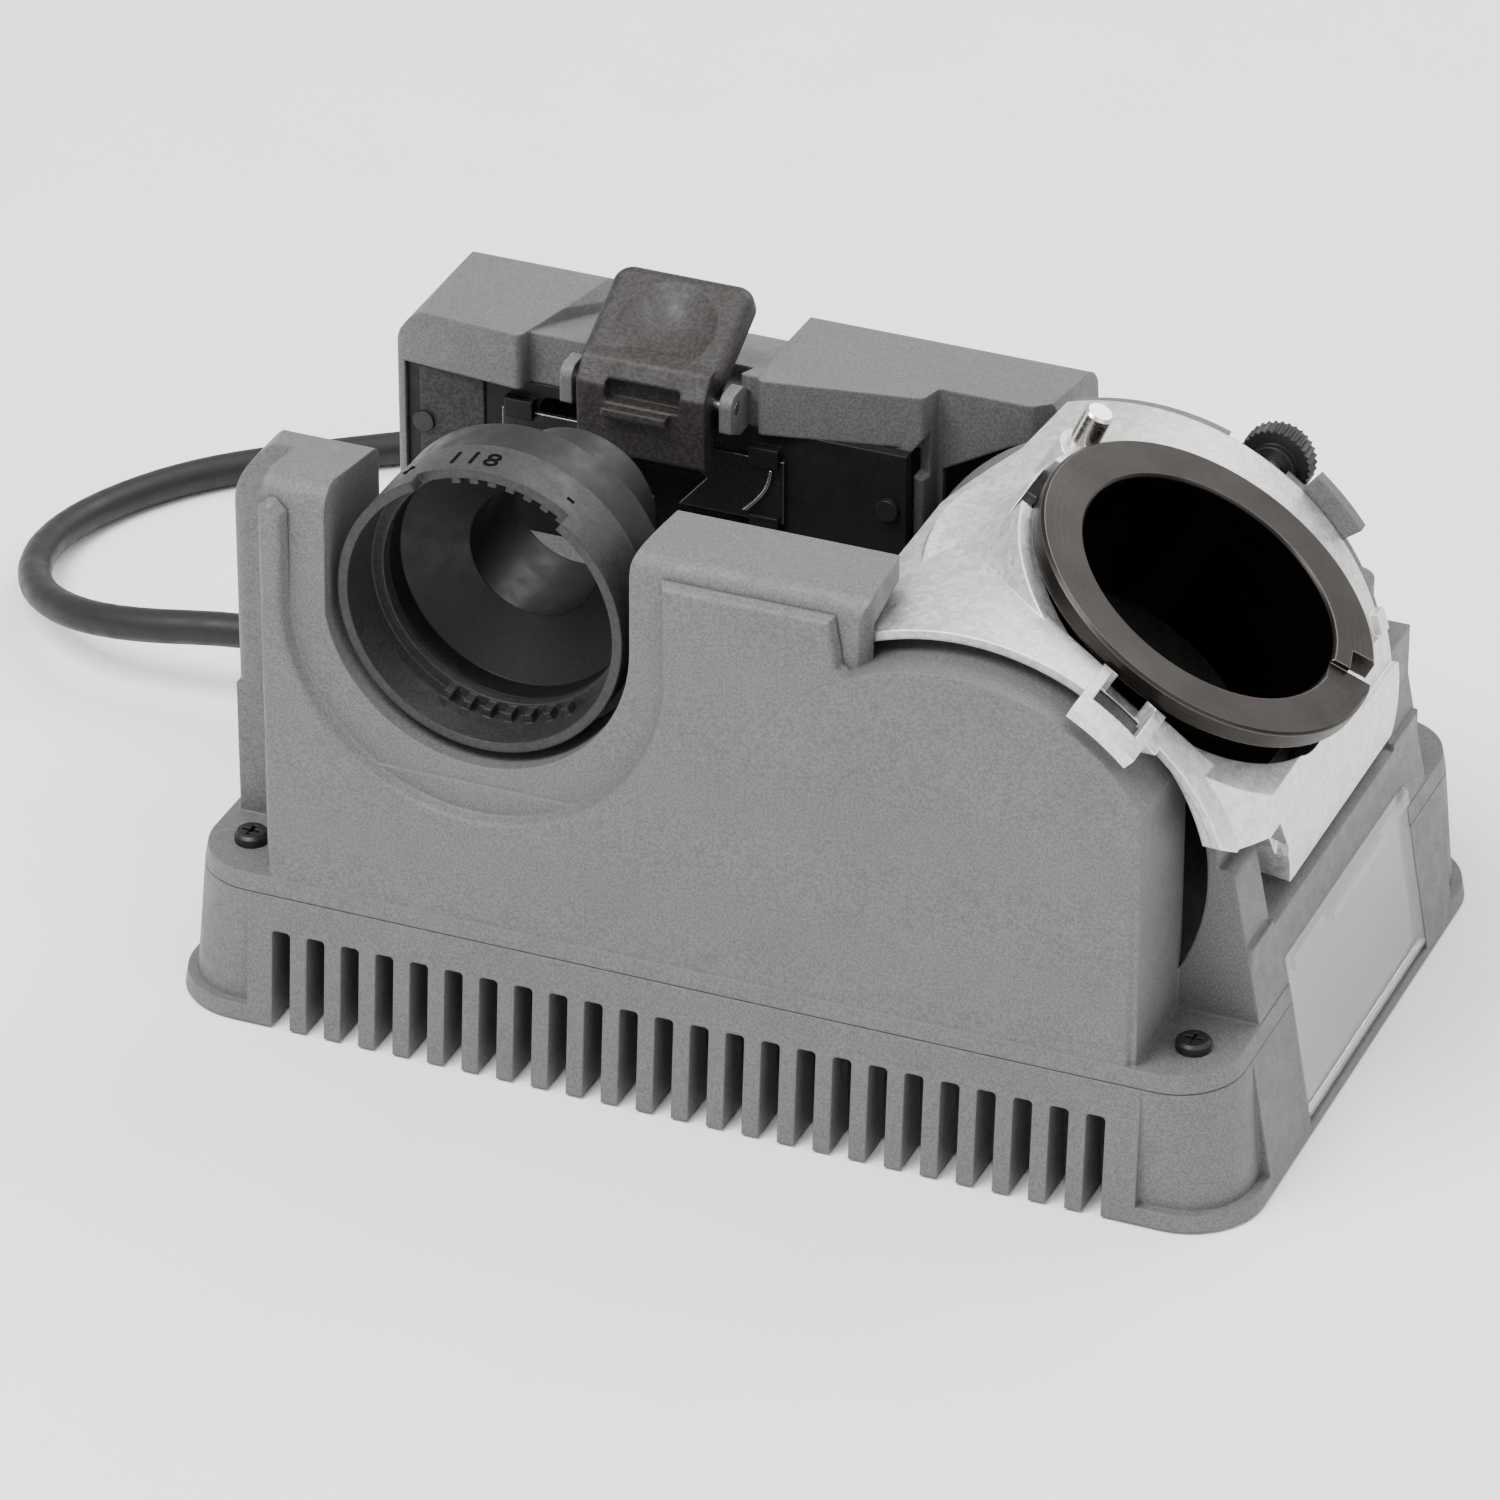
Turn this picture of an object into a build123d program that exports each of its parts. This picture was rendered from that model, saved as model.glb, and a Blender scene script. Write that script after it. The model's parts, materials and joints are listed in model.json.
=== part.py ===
from build123d import *
import os
from math import cos, pi, radians, sin, tan

os.makedirs("parts", exist_ok=True)

# ---------------------------------------------------------------- driving dimensions, mm
# X runs along the machine, -Y is the front, +Z is up, z = 0 is the bench.
length = 260.0            # over the foot flange
depth = 170.0
flange_z = 0.6            # the flange clears the bench by this much, the feet carry it
parting_z = 33.8          # joint line between the base and the housing
end_slope = 0.17          # the end walls lean in by this much per mm of height
top_length = length - 2 * end_slope * parting_z
top_depth = 165.0
corner_r = 18.0
wall = 2.5
floor_t = 2.5

deck_z = 38.5             # ledge round the housing, floor of the screw pockets
front_y = -82.0           # front face at the ledge
slab_back_y = -58.0       # back of the front slab, where the pockets end
tower_back_y = -48.0
tower_top_z = 138.8
top_fall = 0.14           # tower and hood tops fall to the rear by this much per mm
valley_z = 72.0           # floor between the front towers and the rear hood

# vents in the front of the base
slot_count = 24
slot_pitch = 8.5
slot_w = 4.5
slot_top_z = 25.2
slot_first_x = -99.55     # centre of the first slot
fin_depth = 10.0

# alignment port, axis along Y
port_x = -53.0
port_z = 113.3
port_front_y = -75.0
port_r = 34.0
port_bore_r = 31.7
port_lip_r = 28.9
drum_r = 18.7
dip_r = 36.7              # round dip in the front wall for the port

# dome and the carriage that swings on it; both turn about this axis along Y
dome_x = 59.4
dome_z = 72.7
dome_r = 53.3
carriage_in_r = 53.8
carriage_out_r = 59.0
carriage_front_y = -70.5
carriage_back_y = 39.0
swing = 8.5               # 118 to 135 degree points: half the difference

# sharpening tube, tilted in the XZ plane
point_half_angle = 59.0
tube_y = -19.0
tube_face_d = 63.2        # ring face, from the dome axis along the tube axis
tube_side_u = 5.0         # tube axis passes this far down-slope of the dome axis
ring_r = 42.1
ring_t = 4.6
tube_bore_r = 31.5
tube_r = 34.2
tube_len = 33.0

# grinding wheel and motor, axis along X
wheel_r = 24.0
wheel_y = -7.0
wheel_z = 44.0
wheel_x0 = 42.0
wheel_x1 = 78.0
motor_r = 22.0
motor_x0 = -26.0
motor_x1 = 24.0
shaft_r = 3.0

# mains lead: exit in the left end, loose stretch, coil behind the machine, plug on the coil
cord_r = 4.2
cord_exit = (-126.0, 44.0, 22.0)
relief_end_x = -160.0
cord_route = [
    (-124, 44, 22), (-162, 44, 22), (-204, 39, 16.5), (-231, 54, 11), (-244, 82, 6.6),
    (-241, 110, 4.4), (-225, 136, 4.3), (-198, 157, 4.3), (-166, 179, 4.3), (-127, 199.9, 4.3),
    (-100.4, 208.6, 4.3),
]
coil_x, coil_y = -84.0, 158.0
coil_r = 49.0             # middle of the turns
coil_top_z = 16.8         # top of the two full layers


def point(r, angle):
    """XZ point at a radius and angle about the dome axis."""
    return (dome_x + r * cos(radians(angle)), dome_z + r * sin(radians(angle)))


def xz(y):
    """Sketch plane at depth y, local x = X and local y = Z; negative amounts go to the rear."""
    return Plane(origin=(0, y, 0), x_dir=(1, 0, 0), z_dir=(0, -1, 0))


def end_x(z):
    """X of the right end face at height z."""
    return length / 2 - end_slope * z


def save(part, name):
    part.label = name
    export_step(part, f"parts/{name}.step")


def block(plane, amount, *corners):
    """Prism on a plane; each corner of its outline is (a, b) or (a, b, fillet radius)."""
    with BuildPart() as prism:
        with BuildSketch(plane):
            with BuildLine():
                FilletPolyline(
                    *[corner[:2] for corner in corners],
                    radius=[corner[2] if len(corner) > 2 else 0 for corner in corners],
                    close=True,
                )
            make_face()
        extrude(amount=amount)
    return prism.part


def ring_sector(y0, y1, r0, r1, angle0, angle1):
    """Part of a tube about the dome axis, between two depths, radii and angles."""
    middle = (angle0 + angle1) / 2
    with BuildPart() as sector:
        with BuildSketch(xz(y0)):
            with BuildLine():
                Line(point(r0, angle0), point(r1, angle0))
                ThreePointArc(point(r1, angle0), point(r1, middle), point(r1, angle1))
                Line(point(r1, angle1), point(r0, angle1))
                ThreePointArc(point(r0, angle1), point(r0, middle), point(r0, angle0))
            make_face()
        extrude(amount=-(y1 - y0))
    return sector.part


tube_dir = Vector(cos(radians(point_half_angle)), 0, sin(radians(point_half_angle)))
tube_down = Vector(sin(radians(point_half_angle)), 0, -cos(radians(point_half_angle)))
tube_face = (
    Vector(dome_x, tube_y, dome_z) + tube_dir * tube_face_d + tube_down * tube_side_u
)
# local x runs down the slope, local y to the rear, local z out of the tube
tube_plane = Plane(origin=tube_face, x_dir=tube_down, z_dir=tube_dir)


# ---------------------------------------------------------------- base
recess = 2.3              # the corner walls stand in from the foot flange by this much
flange_top_z = 4.6
vent_x0, vent_x1 = -108.0, 106.0
side_recess_y = 62.0      # half width of the plain middle of each end wall

with BuildPart() as corner_waste:
    with BuildSketch(Plane.XY.offset(flange_top_z)):
        RectangleRounded(length + 10, depth + 10, corner_r)
    extrude(amount=parting_z - flange_top_z)
    with BuildSketch(Plane.XY.offset(flange_top_z)):
        RectangleRounded(length - 2 * recess - 1.6, depth - 2 * recess, corner_r - recess)
    with BuildSketch(Plane.XY.offset(parting_z)):
        RectangleRounded(top_length, top_depth, corner_r - recess)
    loft(mode=Mode.SUBTRACT)
    with BuildSketch(Plane.XY.offset(flange_top_z)):
        with Locations(((vent_x0 + vent_x1) / 2, 0)):
            Rectangle(vent_x1 - vent_x0, depth + 20)
        Rectangle(length + 20, 2 * side_recess_y)
    extrude(amount=parting_z, mode=Mode.SUBTRACT)

foot_r = 7.0
foot_pitch_x, foot_pitch_y = 222.0, 132.0
board_x, board_y, board_z = -88.0, -5.0, 12.0
board_l, board_w = 48.0, 58.0
rebate = 1.8              # depth of the rebate round the clear cover
# three screws sit in pockets on the deck, the fourth goes up from under the rear left foot
screw_at = [(-113, -69), (113, -69), (113, 69)]
hidden_screw_at = (-111, 66)
hidden_head_z = 8.0
screw_r = 1.8
door_y0, door_y1 = -36.0, 44.0
door_z0, door_z1 = 2.4, 44.6
hinge_r = 1.5
hinge_pin_r = 0.8
hinge_z = 4.4
hinge_x = end_x(hinge_z) - hinge_r

with BuildPart() as base_housing:
    with BuildSketch(Plane.XY.offset(flange_z)):
        RectangleRounded(length, depth, corner_r)
    with BuildSketch(Plane.XY.offset(parting_z)):
        RectangleRounded(top_length, top_depth, corner_r - recess)
    loft()
    with BuildSketch(Plane.XY.offset(flange_z + floor_t)):
        RectangleRounded(length - 2 * wall - 1, depth - 2 * wall, corner_r - wall)
    with BuildSketch(Plane.XY.offset(parting_z)):
        RectangleRounded(top_length - 2 * wall, top_depth - 2 * wall, corner_r - recess - wall)
    loft(mode=Mode.SUBTRACT)
    # thick band behind the front wall that becomes the fins
    with BuildSketch(Plane.XY.offset(flange_z)):
        with Locations(((vent_x0 + vent_x1) / 2, -depth / 2 + 2.0 + fin_depth / 2)):
            Rectangle(vent_x1 - vent_x0 - 4, fin_depth - 1)
    extrude(amount=slot_top_z + 2.5)
    add(corner_waste.part, mode=Mode.SUBTRACT)
    with BuildSketch(xz(-depth / 2 - 1)):
        with Locations(*[(slot_first_x + slot_pitch * i, slot_top_z / 2 - 3) for i in range(slot_count)]):
            RectangleRounded(slot_w, slot_top_z + 6, 1.0)
    extrude(amount=-(fin_depth + 3.5), mode=Mode.SUBTRACT)
    # doorway for the clear cover in the right end, shared with the housing
    with BuildSketch(Plane.YZ.offset(length / 2 - 12)):
        with Locations(((door_y0 + door_y1) / 2, parting_z)):
            Rectangle(door_y1 - door_y0 - 6, 2 * (parting_z - 6.0))
    extrude(amount=20, mode=Mode.SUBTRACT)
    # rebate that lets the cover sit flush
    with BuildSketch(Plane.XZ.offset(-door_y0)):
        with BuildLine():
            Polyline(
                (end_x(door_z0) - rebate, door_z0),
                (end_x(door_z0) + 3, door_z0),
                (end_x(parting_z) + 3, parting_z),
                (end_x(parting_z) - rebate, parting_z),
                close=True,
            )
        make_face()
    extrude(amount=-(door_y1 - door_y0), mode=Mode.SUBTRACT)
    # sill that carries the hinge of the clear cover, with a groove for its barrel
    with BuildSketch(Plane.XZ.offset(-door_y0)):
        with Locations((123.5, 4.5)):
            Rectangle(7, 3)
    extrude(amount=-(door_y1 - door_y0))
    with BuildSketch(Plane.XZ.offset(-door_y0)):
        with Locations((hinge_x, hinge_z)):
            Circle(hinge_r + 0.35)
    extrude(amount=-(door_y1 - door_y0), mode=Mode.SUBTRACT)
    with BuildSketch(Plane.XZ.offset(-door_y0 + 3)):
        with Locations((hinge_x, hinge_z)):
            Circle(hinge_pin_r)
    extrude(amount=-(door_y1 - door_y0 + 6), mode=Mode.SUBTRACT)
    # screw bosses
    with BuildSketch(Plane.XY.offset(flange_z + floor_t)):
        with Locations(*screw_at):
            Circle(5.0)
        with Locations(hidden_screw_at):
            Circle(7.0)
    extrude(amount=parting_z - flange_z - floor_t)
    with BuildSketch(Plane.XY.offset(hidden_head_z)):
        with Locations(*screw_at, hidden_screw_at):
            Circle(screw_r + 0.1)
    extrude(amount=parting_z, mode=Mode.SUBTRACT)
    with BuildSketch(Plane.XY):
        with Locations(hidden_screw_at):
            Circle(4.4)
    extrude(amount=hidden_head_z, mode=Mode.SUBTRACT)
    # hole for the strain relief
    with BuildSketch(Plane.YZ.offset(-length / 2 - 1)):
        with Locations((cord_exit[1], cord_exit[2])):
            Circle(6.0)
    extrude(amount=8, mode=Mode.SUBTRACT)
    # posts for the circuit board
    with BuildSketch(Plane.XY.offset(flange_z + floor_t)):
        with Locations((board_x, board_y)):
            with GridLocations(board_l - 10, board_w - 10, 2, 2):
                Circle(3.0)
    extrude(amount=board_z - flange_z - floor_t)
    # pockets for the rubber feet
    with BuildSketch(Plane.XY):
        with GridLocations(foot_pitch_x, foot_pitch_y, 2, 2):
            Circle(foot_r + 0.2)
    extrude(amount=1.9, mode=Mode.SUBTRACT)
save(base_housing.part, "base_housing")

with BuildPart() as rubber_feet:
    with BuildSketch(Plane.XY):
        with GridLocations(foot_pitch_x, foot_pitch_y, 2, 2):
            Circle(foot_r)
    extrude(amount=1.85)
    chamfer(rubber_feet.edges().group_by(Axis.Z)[0], 0.5)
save(rubber_feet.part, "rubber_feet")


# ---------------------------------------------------------------- upper housing
seam = 0.3
left_x, right_x = -121.0, 121.0
slab_left_x, slab_right_x = -104.5, 104.0
dip_left_x, dip_right_x = port_x - dip_r, port_x + dip_r
tower_right_x = 40.0
hood_z = 125.0
hood_lip_z = 111.0
hood_back_y = 78.0


frame_x0, frame_x1 = -118.0, 5.5
frame_front_y, frame_back_y = 31.0, 34.0
lever_x0, lever_x1 = -70.0, -38.5
lever_y, lever_z = 24.0, 119.0
lever_pin_r = 1.5
ear_gap = 2.4
ear_t = 3.0
port_base_r = 33.5
port_base_y0, port_base_y1 = -59.0, -48.0
opening_r = 38.5
opening_extra = 4.0
switch_x, switch_z = -20.0, 58.0
switch_w, switch_h = 21.0, 15.0

plan = Plane.XY.offset(deck_z)
plan_height = 110.0
span = 300.0


def tower_top(y):
    """Height of the front towers at depth y."""
    return tower_top_z - top_fall * (y + 79)


def tower_side(front, back, round_r):
    """Side shape shared by the front towers: drafted front, rounded edge, falling top."""
    return block(
        Plane.YZ.offset(-span / 2), span,
        (front, deck_z - 1), (front + 1.6, tower_top(front + 1.6), round_r),
        (back, tower_top(back), 3.0), (back, deck_z - 1),
    )


body_front_y = front_y + 3.6      # towers and dip rim stand back from the front panel

with BuildPart() as left_tower:
    add(block(
        xz(body_front_y), -(tower_back_y - body_front_y),
        (left_x, deck_z), (left_x, 139.5, 27), (dip_left_x + 0.8, 141, 5), (dip_left_x, deck_z),
    ))
    add(tower_side(body_front_y, tower_back_y, 6), mode=Mode.INTERSECT)
    add(block(
        plan, plan_height,
        (left_x, slab_back_y, 3), (slab_left_x, slab_back_y, 2), (slab_left_x, body_front_y, 2),
        (dip_left_x + 1, body_front_y), (dip_left_x + 1, tower_back_y), (left_x, tower_back_y, 3),
    ), mode=Mode.INTERSECT)

with BuildPart() as centre_tower:
    add(block(
        xz(body_front_y), -(tower_back_y - body_front_y),
        (dip_right_x, deck_z), (dip_right_x, 141, 7), (tower_right_x, 141, 8), (tower_right_x, deck_z),
    ))
    add(tower_side(body_front_y, tower_back_y, 6), mode=Mode.INTERSECT)
    add(block(
        plan, plan_height,
        (dip_right_x, body_front_y), (tower_right_x, body_front_y, 6), (36, tower_back_y, 5),
        (dip_right_x, tower_back_y),
    ), mode=Mode.INTERSECT)

# raised front panel: runs round the dip and up both towers, and follows the dome
panel_dip_x = 44.5
dome_end_angle = 38.5
panel_foot_z = deck_z - 2.5
panel_top_z = 134.0
panel_taper = 22.0
with BuildPart() as front_panel:
    with BuildSketch(xz(body_front_y + 1)):
        with BuildLine():
            Polyline(
                (slab_right_x, 103), (slab_right_x, panel_foot_z), (slab_left_x, panel_foot_z),
                (slab_left_x, panel_top_z - 2.5), (slab_left_x + 2.5, panel_top_z),
                (port_x - panel_dip_x - 2.5, panel_top_z), (port_x - panel_dip_x, panel_top_z - 2.5),
                (port_x - panel_dip_x, port_z),
            )
            ThreePointArc(
                (port_x - panel_dip_x, port_z), (port_x, port_z - 47.8), (port_x + panel_dip_x, port_z)
            )
            Polyline((port_x + panel_dip_x, port_z), (port_x + panel_dip_x, 133.5), (32, 133.5))
            Line((32, 133.5), (34, 122))
            Line((34, 122), point(dome_r, 116))
            ThreePointArc(point(dome_r, 116), point(dome_r, 78), point(dome_r, dome_end_angle))
            Line(point(dome_r, dome_end_angle), (slab_right_x, 103))
        make_face()
    extrude(amount=body_front_y + 1 - front_y, taper=panel_taper)
    add(block(
        Plane.YZ.offset(-span / 2), span,
        (front_y - 2, 30), (front_y - 0.1, 30), (front_y + 1.9, 140), (front_y - 2, 140),
    ), mode=Mode.SUBTRACT)
    rim = front_panel.faces().sort_by(Axis.Y)[0].edges().sort_by(Axis.Z)[1:]
    fillet(rim, 1.6)

# trough of the dip behind the panel
with BuildPart() as dip_block:
    add(block(
        xz(body_front_y), -(tower_back_y - body_front_y),
        (dip_left_x - 3, deck_z), (dip_left_x - 3, port_z), (dip_right_x + 3, port_z),
        (dip_right_x + 3, deck_z),
    ))
    with BuildSketch(xz(body_front_y - 1)):
        with Locations((port_x, port_z)):
            Circle(dip_r)
    extrude(amount=-60, mode=Mode.SUBTRACT)
    add(tower_side(body_front_y, tower_back_y, 6), mode=Mode.INTERSECT)

# dome body: from the front face back to the wall behind the carriage
dome_left_x = dome_x - dome_r
dome_back_y = 34.5
with BuildPart() as dome_body:
    with BuildSketch(xz(front_y + 1.2)):
        with BuildLine():
            Polyline(
                point(dome_r, -16), (point(dome_r, -16)[0], deck_z), (dome_left_x, deck_z),
                point(dome_r, 180),
            )
            ThreePointArc(point(dome_r, 180), point(dome_r, 90), point(dome_r, -16))
        make_face()
    extrude(amount=-(dome_back_y - front_y - 1.2))
    # the pocket corner cuts the dome at the front right
    add(block(
        plan, plan_height,
        (slab_right_x, front_y - 1), (right_x + 9, front_y - 1), (right_x + 9, -55), (slab_right_x, -55),
    ), mode=Mode.SUBTRACT)

# opening in the dome, long enough for the tube at both ends of the swing
swing_axis = Axis((dome_x, 0, dome_z), (0, -1, 0))
mid_dir = tube_dir.rotate(swing_axis, swing / 2)
opening_plane = Plane(
    origin=(dome_x, tube_y, dome_z), x_dir=tube_down.rotate(swing_axis, swing / 2), z_dir=mid_dir
)
with BuildPart() as tube_opening:
    with BuildSketch(opening_plane.offset(20)):
        with Locations((tube_side_u, 0)):
            SlotCenterToCenter(2 * opening_extra, 2 * opening_r)
    extrude(amount=40)
with BuildPart() as dome_with_opening:
    add(dome_body.part)
    add(tube_opening.part, mode=Mode.SUBTRACT)

# right end wall between its two pockets, leaning in like the end of the base
end_top_z = 76.0
with BuildPart() as end_block:
    add(block(
        Plane.XZ.offset(55), -(57 + 55),
        (100, deck_z - 1), (end_x(deck_z), deck_z - 1), (end_x(end_top_z) - 1, end_top_z, 3),
        (100, end_top_z),
    ))

# rear hood: two blocks that face the lever and fall to the rear
hood_left = [
    (left_x, 30, 2), (-88, 26.7, 1.5), (-86, 46, 1), (-80, hood_back_y), (left_x, hood_back_y, 12),
]
hood_right = [
    (-30, 28, 1.5), (7.5, 36, 1.5), (8.5, 43.5, 1), (31, 43.5, 3), (37.5, 51, 3),
    (37.5, hood_back_y, 10), (-36, hood_back_y),
]


def hood_top(y, fall):
    """Height of the hood at depth y for a top that falls by this much per mm."""
    return hood_z - fall * (y - 28)


def hood_side(fall, back):
    """Side shape of the hood: a top that falls to the rear and a rounded rear edge."""
    return block(
        Plane.YZ.offset(-span / 2), span,
        (20, deck_z - 1), (20, hood_top(20, fall)), (back - 4, hood_top(back - 4, fall), 7),
        (back, deck_z - 1),
    )


with BuildPart() as hood_left_block:
    add(block(plan, plan_height, *hood_left))
    add(block(
        xz(20), -70,
        (left_x, deck_z), (left_x, 126, 13), (-87.5, 126, 1.5), (-78, 108), (-78, deck_z),
    ), mode=Mode.INTERSECT)
    add(hood_side(0.12, hood_back_y), mode=Mode.INTERSECT)

with BuildPart() as hood_right_block:
    add(block(plan, plan_height, *hood_right))
    add(block(
        xz(20), -70,
        (-40, deck_z), (-40, 108), (-30, 127, 1.5), (34.5, 127, 8), (37, 100), (39, deck_z),
    ), mode=Mode.INTERSECT)
    add(hood_side(0.12, hood_back_y), mode=Mode.INTERSECT)

with BuildPart() as rear_saddle:
    add(block(
        plan, plan_height,
        (-90, 31.5), (-27, 31.5), (-30, hood_back_y), (-90, hood_back_y),
    ))
    add(hood_side(0.30, hood_back_y), mode=Mode.INTERSECT)

# wall behind the carriage, with a raised stop at its right
back_wall_y0, back_wall_y1 = 39.6, 42.6
stud_r = 55.3
with BuildPart() as back_wall:
    add(ring_sector(back_wall_y0, back_wall_y1, 30, 58, -2, 108))
    add(ring_sector(back_wall_y0, back_wall_y1, 40, 64, 36, 50))
    add(ring_sector(back_wall_y0 - 1, back_wall_y1 + 1, stud_r - 2.9, stud_r + 2.9, 55, 70.5),
        mode=Mode.SUBTRACT)
rear_dome_in_r, rear_dome_r, rear_dome_back_r = 30.0, 46.0, 32.0
rear_dome_y, rear_dome_back_y = 52.0, 74.0      # it narrows between these depths
with BuildPart() as rear_dome:
    with BuildSketch(Plane.XY.offset(dome_z)):
        with BuildLine():
            Polyline(
                (dome_x + rear_dome_in_r, rear_dome_y), (dome_x + rear_dome_r, rear_dome_y),
                (dome_x + rear_dome_back_r, rear_dome_back_y),
                (dome_x + rear_dome_in_r, rear_dome_back_y), close=True,
            )
        make_face()
    revolve(axis=Axis((dome_x, 0, dome_z), (0, 1, 0)))
    add(block(
        xz(rear_dome_y - 1), -(rear_dome_back_y - rear_dome_y + 2),
        (dome_x - 60, 10), (dome_x - 60, dome_z), (dome_x + 60, dome_z), (dome_x + 60, 10),
    ), mode=Mode.SUBTRACT)
    add(ring_sector(back_wall_y1 - 0.5, rear_dome_y + 0.1, rear_dome_in_r, rear_dome_r, -2, 170))
    add(block(
        plan, 46 - 6,
        (20, back_wall_y0), (118, back_wall_y0), (118, 57), (slab_right_x, 57, 2),
        (slab_right_x, 78, 6), (20, 78),
    ))
    add(block(
        Plane.YZ.offset(-span / 2), span,
        (30, 20), (30, 130), (64, 130), (78, 104, 6), (78, 20),
    ), mode=Mode.INTERSECT)


core = [
    (left_x, slab_back_y), (slab_left_x, slab_back_y), (slab_left_x, body_front_y),
    (slab_right_x, body_front_y), (slab_right_x, -55), (right_x, -55), (right_x, 57),
    (slab_right_x, 57), (slab_right_x, hood_back_y), (slab_left_x, hood_back_y), (slab_left_x, 57),
    (left_x, 57),
]
core_in = [
    (left_x + wall, slab_back_y + wall), (slab_left_x + wall, slab_back_y + wall),
    (slab_left_x + wall, body_front_y + wall), (slab_right_x - wall, body_front_y + wall),
    (slab_right_x - wall, -55 + wall), (right_x - wall, -55 + wall), (right_x - wall, 57 - wall),
    (slab_right_x - wall, 57 - wall), (slab_right_x - wall, hood_back_y - wall),
    (slab_left_x + wall, hood_back_y - wall), (slab_left_x + wall, 57 - wall),
    (left_x + wall, 57 - wall),
]
end_wall_top = 57.0
hood_in_y = hood_back_y - wall - 4
hidden_screw_top = 48.0

with BuildPart() as upper_housing:
    # skirt and deck above the parting line, which shows as a narrow groove
    with BuildSketch(Plane.XY.offset(parting_z + seam)):
        RectangleRounded(top_length, top_depth, corner_r - recess)
    with BuildSketch(Plane.XY.offset(deck_z)):
        RectangleRounded(top_length - 1.6, top_depth - 0.4, corner_r - recess)
    loft()
    with BuildSketch(Plane.XY.offset(parting_z)):
        RectangleRounded(top_length - 2.4, top_depth - 2.4, corner_r - recess - 1.2)
    extrude(amount=2)
    # left part of the body up to the valley, then the towers, dome and hood
    add(block(plan, valley_z - deck_z, *core[:3], (dome_x, body_front_y), (dome_x, hood_back_y),
              *core[9:]))
    add(block(plan, end_wall_top - deck_z, (dome_x, -55), (right_x, -55, 1), (right_x, 57, 1),
              (dome_x, 57)))
    add(left_tower.part)
    add(centre_tower.part)
    add(dip_block.part)
    add(hood_left_block.part)
    add(hood_right_block.part)
    add(rear_saddle.part)
    add(end_block.part)
    # room for the carriage to swing, and its slot in the foot of the centre tower
    add(ring_sector(-41, back_wall_y0, 40, 66, -15.5, 10), mode=Mode.SUBTRACT)
    add(ring_sector(-73, back_wall_y0, 40, 66, 9.5, 60), mode=Mode.SUBTRACT)
    add(ring_sector(-73, tower_back_y + 1, 40, 61.5, 60, 135), mode=Mode.SUBTRACT)
    add(ring_sector(tower_back_y, back_wall_y0, 40, 66, 60, 150), mode=Mode.SUBTRACT)
    add(dome_with_opening.part)
    add(back_wall.part)
    add(rear_dome.part)
    add(front_panel.part)
    # hollow inside: body, towers, dome and hood
    inside = block(Plane.XY.offset(parting_z - 1), 14, *core_in)
    add(inside, mode=Mode.SUBTRACT)
    add(block(plan, valley_z - wall - deck_z, *core_in[:3], (dome_x, body_front_y + wall),
              (dome_x, hood_back_y - wall), *core_in[9:]), mode=Mode.SUBTRACT)
    with BuildSketch(xz(front_y + 1.2 + wall)):
        with Locations((dome_x, dome_z)):
            Circle(dome_r - wall)
    extrude(amount=-(dome_back_y - front_y - 1.2 - 2 * wall), mode=Mode.SUBTRACT)
    add(block(
        xz(body_front_y + wall), -(tower_back_y - body_front_y - 2 * wall),
        (slab_left_x + wall, deck_z), (slab_left_x + wall, 132), (dip_left_x - wall, 132),
        (dip_left_x - wall, deck_z),
    ), mode=Mode.SUBTRACT)
    add(block(
        xz(body_front_y + wall), -(tower_back_y - body_front_y - 2 * wall),
        (dip_right_x + wall, deck_z), (dip_right_x + wall, 131), (tower_right_x - 6, 131),
        (tower_right_x - 6, dome_z + 62.5), (dip_right_x + 8, dome_z + 35), (dip_right_x + 8, deck_z),
    ), mode=Mode.SUBTRACT)
    # side wall that closes the dome behind the front right pocket
    add(block(xz(front_y + 3), -(-53 - front_y - 3), (slab_right_x - wall, deck_z), (slab_right_x, deck_z),
              point(dome_r, 33.2), point(dome_r, 35.5)))
    # hood: hollow inside, open in front below its lip for the alignment frame
    add(block(plan, hood_lip_z - 2 - deck_z, (left_x + wall, frame_back_y), (frame_x1, frame_back_y),
              (frame_x1, 46), (28, 46), (28, hood_in_y), (slab_left_x + wall, hood_in_y),
              (slab_left_x + wall, 57 - wall), (left_x + wall, 57 - wall)),
        mode=Mode.SUBTRACT)
    # the corner over the hidden screw is solid low down and hollow above it
    add(block(Plane.XY.offset(hidden_screw_top + 4), hood_lip_z - 6 - hidden_screw_top,
              (left_x + wall, 50), (left_x + wall, 60), (-115.5, hood_in_y), (-95, hood_in_y), (-95, 50)),
        mode=Mode.SUBTRACT)
    # gap under the right end of the hood, where the carriage swings in
    add(block(xz(back_wall_y1 + 0.1), -6, (9.5, 76), (9.5, 102.5), (25.3, 111.4), (31, 114), (31, 76)),
        mode=Mode.SUBTRACT)
    add(block(Plane.XY.offset(valley_z), hood_lip_z - valley_z, (left_x + wall, 20), (frame_x1, 20),
              (frame_x1, frame_back_y + 1), (left_x + wall, frame_back_y + 1)), mode=Mode.SUBTRACT)
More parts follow.
